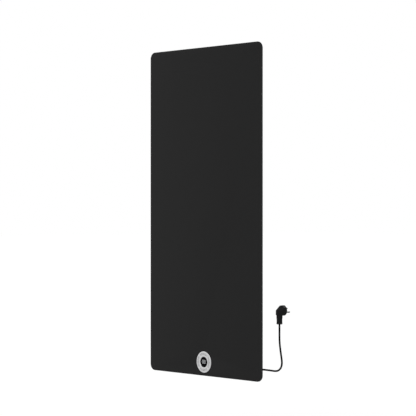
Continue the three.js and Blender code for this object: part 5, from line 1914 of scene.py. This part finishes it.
def makeSplices():
    # shrink sleeves over the two splices, a little waisted where they grip the wires
    sizes = spliceSizes
    length, radius, mouth, waist = sizes["length"], sizes["radius"], sizes["mouth"], sizes["waist"]
    lower = [(mouth, 0), (waist, sizes["waistPlace"]), (radius, sizes["shoulder"])]
    upper = [(reach, length - place) for reach, place in lower[::-1]]
    sleeve = lathe([(0, 0), *lower, *upper, (0, length)], facets["hole"], alongHeight())
    foot = boxOf("heating_cable")[0].z - length - sizes["gap"]
    ends = [leadRoutes["element_lead_left"][0], leadRoutes["element_lead_right"][-1]]
    sleeves = atPoints(sleeve, [(x, y, foot) for x, y, z in ends], "black_rubber")
    dress(sleeves, "spliceSleeves", "black_rubber")


terminalPitch = 7
coreSizes = {"radius": 1.15, "aside": 1.5, "inSheath": 2, "outOfSheath": 1.5, "straight": 6, "gap": 0.3}
cores = {
    "coreBrown": {"way": -1, "sink": -0.4, "slot": "wire_white", "material": extraFinishes["brownWire"]},
    "coreEarth": {"way": 0, "sink": 0.8, "slot": "wire_green_yellow", "material": None},
    "coreBlue": {"way": 1, "sink": -0.4, "slot": "wire_white", "material": extraFinishes["blueWire"]},
}


def makeCores():
    # the cord's three cores fan out of its sheath to the terminals
    sizes = coreSizes
    before, start = [Vector(place) for place in leadRoutes["mains_lead"][-2:]]
    heading = (start - before).normalized()
    across = Vector((heading.z, 0, -heading.x)) * sizes["aside"]
    terminal, bottom = middleOf("terminal_block").x, boxOf("terminal_block")[0].z - sizes["gap"]
    for name, core in cores.items():
        leave = start + across * core["way"] + Vector((0, core["sink"], 0))
        x = terminal + terminalPitch * core["way"]
        route = [
            leave - heading * sizes["inSheath"],
            leave + heading * sizes["outOfSheath"],
            (x, start.y, bottom - sizes["straight"]),
            (x, start.y, bottom),
        ]
        wire = swept(route, sizes["radius"], facets["wire"])
        dress(wire, name, core["slot"], material=core["material"])


makeCable()
makeLeads()
makeSplices()
makeCores()
print("heating cable and leads are made")


# Glass bosses, earth stud, cut-out, lead terminals, clamp ring and key mat

bossSizes = {
    "foot": 8,
    "footThickness": 1.5,
    "footEase": 0.3,
    "radius": 5,
    "fillet": ((0.9, 1.6), (0.25, 1.9), (0, 2.6)),  # outwards from the radius and back from the glass
    "ease": 0.5,
    "bore": 1.8,
    "boreDepth": 9.7,
    "boreEase": 0.4,
}


def makeBosses():
    # threaded bosses bonded to the glass, with a broad foot
    sizes = bossSizes
    nodes = [f"glass_boss_{side}" for side in sides]
    low, high = boxOf(nodes[0])
    base, top, floor = low.y, high.y, high.y - sizes["boreDepth"]
    radius, bore, ease, boreEase = sizes["radius"], sizes["bore"], sizes["ease"], sizes["boreEase"]
    profile = [
        *puck(sizes["foot"], base, base + sizes["footThickness"], sizes["footEase"])[:-1],
        *[(radius + out, base + back) for out, back in sizes["fillet"]],
        (radius, top - ease), (radius - ease, top), (bore + boreEase, top),
        (bore, top - boreEase), (bore, floor), (0, floor),
    ]
    boss = lathe(profile, facets["head"], alongDepth())
    points = [(middle.x, 0, middle.z) for middle in middlesOf(nodes)]
    dress(atPoints(boss, points, "bare_aluminium"), "glassBosses", "bare_aluminium", *nodes)


studSizes = {
    "radius": 2.5,
    "point": 0.5,
    "pitch": 0.8,
    "thread": 0.35,
    "leadIn": 0.4,
    "plain": 1,
    "nut": 4.5,
    "nutSides": 6,
    "nutHeight": 3,
    "nutShift": 0.15,
    "nutEase": (0.5, 0.4),
    "washer": 5.5,
    "washerHeight": 1,
    "washerEase": 0.2,
}


def makeStud():
    # threaded earth stud with its nut and washer
    sizes = studSizes
    low, high = boxOf("earth_stud")
    middle = middleOf("earth_stud")
    radius, pitch, washer = sizes["radius"], sizes["pitch"], sizes["washer"]
    profile = [(0, low.y), (radius - sizes["point"], low.y)]
    for turn in range(int((high.y - low.y - sizes["plain"]) / pitch)):
        root = low.y + sizes["leadIn"] + turn * pitch
        profile += [(radius - sizes["thread"], root), (radius, root + pitch / 2)]
    profile += [(radius, high.y), (0, high.y)]
    place = alongDepth(middle.x, middle.z)
    stud = lathe(profile, facets["small"], place)
    back = middle.y + sizes["nutShift"] + sizes["nutHeight"] / 2
    front = back - sizes["nutHeight"]
    nut, (aside, along) = sizes["nut"], sizes["nutEase"]
    rings = [(nut - aside, front), (nut, front + along), (nut, back - along), (nut - aside, back)]
    x, z, count = middle.x, middle.z, sizes["nutSides"]
    nut = loft([[(u, depth, v) for u, v in circle(reach, count, x, z)] for reach, depth in rings])
    face, ease = front - sizes["washerHeight"], sizes["washerEase"]
    disc = [(0, face), (washer - ease, face), (washer, face + ease), (washer, front), (0, front)]
    dressNode(joined(stud, nut, lathe(disc, facets["head"], place)), "earth_stud")


cutoutSizes = {
    "radius": 8,
    "cup": 2.4,
    "cupFace": ((0.6, 0), (0.15, 0.2), (0, 0.6)),  # inwards and back from the cup's front
    "cupRoll": ((0, 0.5), (0.7, 0.7), (0.8, 0.1)),  # inwards and back from the cup's rim
    "baseInset": 0.9,
    "baseEase": 0.5,
    "bladeWidth": 6,
    "bladeThickness": 0.8,
    "bladeDepth": 4.4,
    "bladeRoot": 5,
    "bladeCorner": 0.8,
    "bladeHole": 0.9,
    "bladeHolePlace": 12,
    "bladeSoft": 0.12,
}


def makeCutout():
    # thermal cut-out: a moulded base, a metal cup and two blades
    sizes = cutoutSizes
    low, high = boxOf("thermal_cutout")
    middle, reach = middleOf("thermal_cutout"), reachOf("thermal_cutout")
    place = alongDepth(middle.x, middle.z)
    front, rim, radius = low.y, low.y + sizes["cup"], sizes["radius"]
    base, ease = radius - sizes["baseInset"], sizes["baseEase"]
    profile = [(0, rim), (base, rim), (base, high.y - ease), (base - ease, high.y), (0, high.y)]
    dressNode(lathe(profile, facets["cap"], place), "thermal_cutout")
    profile = [
        (0, front), *[(radius - aside, front + back) for aside, back in sizes["cupFace"]],
        *[(radius - aside, rim + back) for aside, back in sizes["cupRoll"]], (0, rim),
    ]
    dress(lathe(profile, facets["cap"], place), "cutoutCup", "bare_aluminium")
    start, half, blades = front + sizes["bladeDepth"], sizes["bladeWidth"] / 2, []
    for way in ways:
        edges = sorted((middle.x + way * sizes["bladeRoot"], middle.x + way * reach))
        outline = rectangle(*edges, middle.z - half, middle.z + half, sizes["bladeCorner"], 0, 3)
        x = middle.x + way * sizes["bladeHolePlace"]
        hole = circle(sizes["bladeHole"], facets["drill"], x, middle.z)
        end = start + sizes["bladeThickness"]
        blades.append(sheetSolid([outline, hole], start, end, sizes["bladeSoft"]))
    dress(joined(*blades), "cutoutBlades", "brass")


terminalSizes = {
    "barrel": 1.75,
    "barrelEnds": (-0.8, 2.5, 5),
    "wall": 0.6,
    "side": 0.4,
    "rootGap": 0.8,
    "tip": 0.5,
}


def makeLeadTerminals():
    # push-on receptacles over the cut-out's blades, and the barrel of the earth lead's ring
    sizes = terminalSizes
    leadEnds = [
        leadRoutes["element_lead_left"][:-3:-1],
        leadRoutes["cutout_lead"][:2],
        leadRoutes["earth_lead"][:-3:-1],
    ]
    barrels = []
    for end, before in [[Vector(place) for place in pair] for pair in leadEnds]:
        heading = (before - end).normalized()
        route = [end + heading * along for along in sizes["barrelEnds"]]
        barrels.append(swept(route, sizes["barrel"], facets["drill"]))
    middle, reach = middleOf("thermal_cutout"), reachOf("thermal_cutout") + sizes["tip"]
    front = boxOf("thermal_cutout")[0].y + cutoutSizes["bladeDepth"]
    depths = (front - sizes["wall"], front + cutoutSizes["bladeThickness"] + sizes["wall"])
    half = cutoutSizes["bladeWidth"] / 2 + sizes["side"]
    root = cutoutSizes["radius"] + sizes["rootGap"]
    for way, barrel in zip(ways, barrels):
        edges = sorted((middle.x + way * root, middle.x + way * reach))
        shell = block(*edges, *depths, middle.z - half, middle.z + half)
        carve(barrel, [softEdges(shell, 0.5)], "UNION")
    dress(joined(*barrels), "leadTerminals", "zinc_steel")


clampSizes = {"width": 4.2, "innerEase": 0.3, "outerEase": 0.4, "notches": 36, "notch": 0.9, "notchOut": 0.3}


def makeClampRing():
    # clamp ring with grip notches round its edge
    sizes = clampSizes
    low, high = boxOf("control_clamp_ring")
    outer, inEase, outEase = reachOf("control_clamp_ring"), sizes["innerEase"], sizes["outerEase"]
    inner = outer - sizes["width"]
    profile = [
        (inner, low.y + inEase), (inner + inEase, low.y), (outer - outEase, low.y),
        (outer, low.y + outEase), (outer, high.y - outEase), (outer - outEase, high.y),
        (inner + inEase, high.y), (inner, high.y - inEase),
    ]
    ring = lathe(profile, facets["dial"], alongDepth(dialX, dialZ), True)
    notch = rod(sizes["notch"], low.y - overrun, high.y + overrun, alongDepth(), facets["wire"])
    places = circle(outer + sizes["notchOut"], sizes["notches"], dialX, dialZ)
    notches = atPoints(notch, [(u, 0, v) for u, v in places], "black_plastic")
    dressNode(carve(ring, [notches]), "control_clamp_ring")


matSizes = {
    "thickness": 1.4,
    "ease": 0.2,
    "lensGap": 0.4,
    "dome": 3,
    "crownShares": (0.5, 0.6, 0.62),
    "crownEase": 0.15,
    "web": 0.4,
}


def makeKeyMat():
    # silicone mat with a collapsing dome under each key
    sizes = matSizes
    low, high = boxOf("key_mat")
    inner, outer = boxOf("display_lens")[1].x - dialX + sizes["lensGap"], reachOf("key_mat")
    base, ease, radius = high.y - sizes["thickness"], sizes["ease"], sizes["dome"]
    profile = [
        (inner, base + ease), (inner + ease, base), (outer - ease, base),
        (outer, base + ease), (outer, high.y), (inner, high.y),
    ]
    mat = lathe(profile, facets["board"], alongDepth(dialX, dialZ), True)
    top, shoulder, waist = [radius * share for share in sizes["crownShares"]]
    profile = [
        (0, low.y), (top, low.y), (shoulder, low.y + sizes["crownEase"]),
        (waist, base - sizes["web"]), (radius, base), (radius, high.y), (0, high.y),
    ]
    points = [(u, 0, v) for u, v in circle(keyMiddle, len(keyNodes), dialX, dialZ)]
    domes = atPoints(lathe(profile, facets["small"], alongDepth()), points, "grey_silicone")
    dressNode(carve(mat, [domes], "UNION"), "key_mat")


makeBosses()
makeStud()
makeCutout()
makeLeadTerminals()
makeClampRing()
makeKeyMat()
print("turned inner parts are made")


# Power board and what stands on its side towards the plate

powerBoardSizes = {"corner": 2, "cornerSteps": 4, "hole": 1.6, "holeInset": 3, "soft": 0.1}
powerFace = boxOf("power_board")[0].y


def makePowerBoard():
    sizes = powerBoardSizes
    low, high = boxOf("power_board")
    outlines = [rectangle(*edgesOf("power_board"), sizes["corner"], 0, sizes["cornerSteps"])]
    left, right, bottom, top = edgesOf("power_board", sizes["holeInset"])
    for x in (left, right):
        outlines += [circle(sizes["hole"], facets["drill"], x, z) for z in (bottom, top)]
    dressNode(sheetSolid(outlines, low.y, high.y, sizes["soft"]), "power_board")


capacitorSizes = {
    "places": ((124, 33), (124, 44.5)),
    "radius": 4.6,
    "length": 13,
    "stand": 0.3,
    "crimp": ((0, 2), (0.4, 2.4), (0.4, 2.9), (0, 3.3)),  # inwards and away from the board
    "crown": ((0, 0.5), (0.3, 0.2), (0.9, 0.1), (1, 0.4)),  # inwards and back from the can's end
}


def makeCapacitors():
    # cans in a black film, crimped near the board and rolled over at the end
    sizes = capacitorSizes
    radius, length, stand = sizes["radius"], sizes["length"], sizes["stand"]
    crown = [(radius - aside, back - length) for aside, back in sizes["crown"]]
    profile = [
        (0, -stand), (radius, -stand),
        *[(radius - aside, -out) for aside, out in sizes["crimp"]],
        *crown,
        (0, crown[-1][1]),
    ]
    can = lathe(profile, facets["small"], alongDepth(0, 0, powerFace))
    points = [(x, 0, z) for x, z in sizes["places"]]
    dress(atPoints(can, points, "black_plastic"), "boardCapacitors", "black_plastic")


fuseSizes = {
    "place": (145, 30.5),
    "stand": 3.6,
    "glass": 2.4,
    "glassLength": 16,
    "cap": 2.7,
    "capLength": 5,
    "length": 20,
    "foot": (1, 4),
    "footTop": 3,
    "footGap": 0.1,
    "footSoft": 0.1,
}


def makeFuse():
    # glass fuse with a metal cap and a foot at each end
    sizes = fuseSizes
    (x, z), half, capLength = sizes["place"], sizes["glassLength"] / 2, sizes["capLength"]
    lift = powerFace - sizes["stand"]
    dress(rod(sizes["glass"], -half, half, alongX(x, lift, z)), "boardFuse", "white_plastic")
    cap = [(0, 0), (sizes["cap"], 0), (sizes["cap"], capLength), (0, capLength)]
    half = sizes["length"] / 2
    starts = (x - half, x + half - capLength)
    metal = [lathe(cap, facets["small"], alongX(start, lift, z)) for start in starts]
    foot = (*sizes["foot"], powerFace - sizes["footTop"], powerFace - sizes["footGap"], sizes["footSoft"])
    metal += [blockAt(start + capLength / 2, z, *foot) for start in starts]
    dress(joined(*metal), "fuseCaps", "zinc_steel")


filmSizes = {"place": (159, 56), "width": 13, "height": 7, "depth": 11, "stand": 0.2, "soft": 0.6}
varistorSizes = {
    "place": (161.5, 71),
    "radius": 4.6,
    "half": 1.8,
    "ease": 0.6,
    "stand": 6,
    "leg": 0.3,
    "legHalf": 2,
    "legEnds": (-5, -0.1),
}


def makeFilmCapacitor():
    sizes = filmSizes
    depths = (powerFace - sizes["depth"], powerFace - sizes["stand"])
    film = blockAt(*sizes["place"], sizes["width"], sizes["height"], *depths, sizes["soft"])
    dress(film, "filmCapacitor", "coil_tape")


def makeVaristor():
    # a dipped disc on two legs
    sizes = varistorSizes
    x, z = sizes["place"]
    profile = puck(sizes["radius"], -sizes["half"], sizes["half"], sizes["ease"])
    disc = lathe(profile, facets["small"], alongDepth(x, z, powerFace - sizes["stand"]))
    dress(disc, "boardVaristor", "wire_white", material=extraFinishes["blueWire"])
    legs = []
    for way in ways:
        place = alongDepth(x + way * sizes["legHalf"], z, powerFace)
        legs.append(rod(sizes["leg"], *sizes["legEnds"], place, facets["wire"]))
    dress(joined(*legs), "varistorLegs", "zinc_steel")


transformerSizes = {
    "corner": 0.6,
    "window": 3.4,
    "sheets": 12,
    "sheetGap": 0.06,
    "sheetSoft": 0.04,
    "ends": 3.5,
    "coilInset": 3.8,
    "coilCorner": 3,
    "coilEnds": 1,
    "coilEase": 0.6,
    "cheek": (17, 18),
    "cheekThickness": 0.9,
    "cheekSoft": 0.25,
}


def makeTransformer():
    # a core of stacked sheets round a taped coil, between the bobbin's two cheeks
    sizes = transformerSizes
    low, high = boxOf("transformer")
    middle = middleOf("transformer")
    edges = (edgesOf("transformer"), edgesOf("transformer", sizes["window"]))
    outlines = [rectangle(*edge, sizes["corner"], 0, 3) for edge in edges]
    count, ends = sizes["sheets"], sizes["ends"]
    pitch = (high.y - low.y - 2 * ends) / count
    sheets = []
    for start in [low.y + ends + i * pitch for i in range(count)]:
        sheets.append(sheetSolid(outlines, start, start + pitch - sizes["sheetGap"], sizes["sheetSoft"], 0))
    dress(joined(*sheets), "transformerCore", "zinc_steel", material=extraFinishes["coreSteel"])
    front, back = low.y + sizes["coilEnds"], high.y - sizes["coilEnds"]
    corner, ease = sizes["coilCorner"], sizes["coilEase"]
    stations = [(corner, front), (ease, front), (0, front + ease)]
    stations += [(0, back - ease), (ease, back), (corner, back)]
    coil = tray(edgesOf("transformer", sizes["coilInset"]), corner, stations, 6)
    dressNode(coil, "transformer", name="boardTransformer")
    thick, cheeks = sizes["cheekThickness"], []
    for start in (low.y, high.y - thick):
        cheeks.append(blockAt(middle.x, middle.z, *sizes["cheek"], start, start + thick, sizes["cheekSoft"]))
    dress(joined(*cheeks), "transformerCheeks", "black_plastic")


terminalScrewSizes = {
    "head": 1.7,
    "height": 1.2,
    "ease": 0.3,
    "slotWidth": 0.5,
    "slotFloor": 0.7,
    "slotReach": 2,
    "sink": 2.9,
}


def makeTerminals():
    # terminal block with a slotted screw in each way
    makeSoft("terminal_block", 0.4)
    sizes = terminalScrewSizes
    radius, height, ease = sizes["head"], sizes["height"], sizes["ease"]
    profile = [(0, 0), (radius, 0), (radius, height - ease), (radius - ease, height), (0, height)]
    head = lathe(profile, facets["small"], alongDepth())
    half, reach = sizes["slotWidth"] / 2, sizes["slotReach"]
    carve(head, [block(-reach, reach, sizes["slotFloor"], reach, -half, half)])
    head.data.transform(Matrix.Rotation(math.pi, 4, "X"))
    middle = middleOf("terminal_block")
    place = (middle.x, boxOf("terminal_block")[0].y + sizes["sink"], middle.z)
    screws = centredRow(head, 3, (terminalPitch, 0, 0), "zinc_steel", place)
    dress(screws, "terminalScrews", "zinc_steel")


# Control board and what stands on its back

controlBoardSizes = {"hole": 1.2, "holePlace": (26, 17), "soft": 0.1}
chipSizes = {
    "half": 4.5,
    "stand": 0.15,
    "top": 1.6,
    "soft": 0.25,
    "dot": 0.5,
    "dotInset": 1.4,
    "dotFloor": 1.4,
    "dotEnd": 2,
    "legs": 8,
    "legPitch": 1,
    "legHalf": 0.2,
    # away from the board, and outwards from the chip's side
    "leg": ((1, -0.1), (1, 0.7), (0.1, 0.9), (0.1, 1.5), (0.25, 1.5), (0.25, 1), (1.15, 0.85), (1.15, -0.1)),
}
resistorSizes = {"count": 9, "pitch": 3, "size": (1.6, 0.9), "rows": ((-12, 0.5), (12, 0.7)), "soft": 0.1}
sounderSizes = {"place": -15, "radius": 6, "height": 6, "ease": 0.4, "mouth": 1.2, "mouthDepth": 1}
crystalSizes = {"place": 12, "width": 4.5, "height": 9, "depth": 3, "soft": 1.4}
controlBack = boxOf("control_board")[1].y


def makeControlBoard():
    sizes = controlBoardSizes
    low, high = boxOf("control_board")
    across, up = sizes["holePlace"]
    outlines = [circle(reachOf("control_board"), facets["board"], dialX, dialZ)]
    for way in ways:
        for side in ways:
            outlines.append(circle(sizes["hole"], facets["drill"], dialX + across * way, dialZ + up * side))
    dressNode(sheetSolid(outlines, low.y, high.y, sizes["soft"]), "control_board")


def makeChip():
    # a chip with a dimple at its first leg, and a row of bent legs on each of two sides
    sizes, back = chipSizes, controlBack
    half, inset, front, end = sizes["half"], sizes["dotInset"], back + sizes["stand"], back + sizes["top"]
    chip = blockAt(dialX, dialZ, 2 * half, 2 * half, front, end, sizes["soft"])
    place = alongDepth(dialX - half + inset, dialZ + half - inset)
    dot = rod(sizes["dot"], back + sizes["dotFloor"], back + sizes["dotEnd"], place, facets["drill"])
    dress(carve(chip, [dot]), "controlChip", "black_plastic")
    rows, legHalf = [], sizes["legHalf"]
    for way in ways:
        profile = [(back + away, way * (half + out)) for away, out in sizes["leg"]]
        leg = barAlongX(profile, -legHalf, legHalf)
        pitch = (sizes["legPitch"], 0, 0)
        rows.append(centredRow(leg, sizes["legs"], pitch, "zinc_steel", (dialX, 0, dialZ)))
    dress(joined(*rows), "chipLegs", "zinc_steel")


def makeSmallParts():
    # two rows of chip resistors, the sounder and the crystal
    sizes, back, rows = resistorSizes, controlBack, []
    for lift, height in sizes["rows"]:
        resistor = blockAt(0, 0, *sizes["size"], back, back + height, sizes["soft"])
        place = (dialX, 0, dialZ + lift)
        rows.append(centredRow(resistor, sizes["count"], (sizes["pitch"], 0, 0), "black_plastic", place))
    dress(joined(*rows), "chipResistors", "black_plastic")
    sizes = sounderSizes
    height, mouth = sizes["height"], sizes["mouth"]
    floor = height - sizes["mouthDepth"]
    profile = puck(sizes["radius"], 0, height, sizes["ease"])[:-1]
    profile += [(mouth, height), (mouth, floor), (0, floor)]
    sounder = lathe(profile, facets["head"], alongDepth(dialX + sizes["place"], dialZ, back))
    dress(sounder, "controlSounder", "black_plastic")
    sizes = crystalSizes
    size = (sizes["width"], sizes["height"])
    crystal = blockAt(dialX + sizes["place"], dialZ, *size, back, back + sizes["depth"], sizes["soft"])
    dress(crystal, "controlCrystal", "zinc_steel")


makePowerBoard()
makeCapacitors()
makeFuse()
makeFilmCapacitor()
makeVaristor()
makeTransformer()
makeTerminals()
makeControlBoard()
makeChip()
makeSmallParts()
print("circuit boards are made")
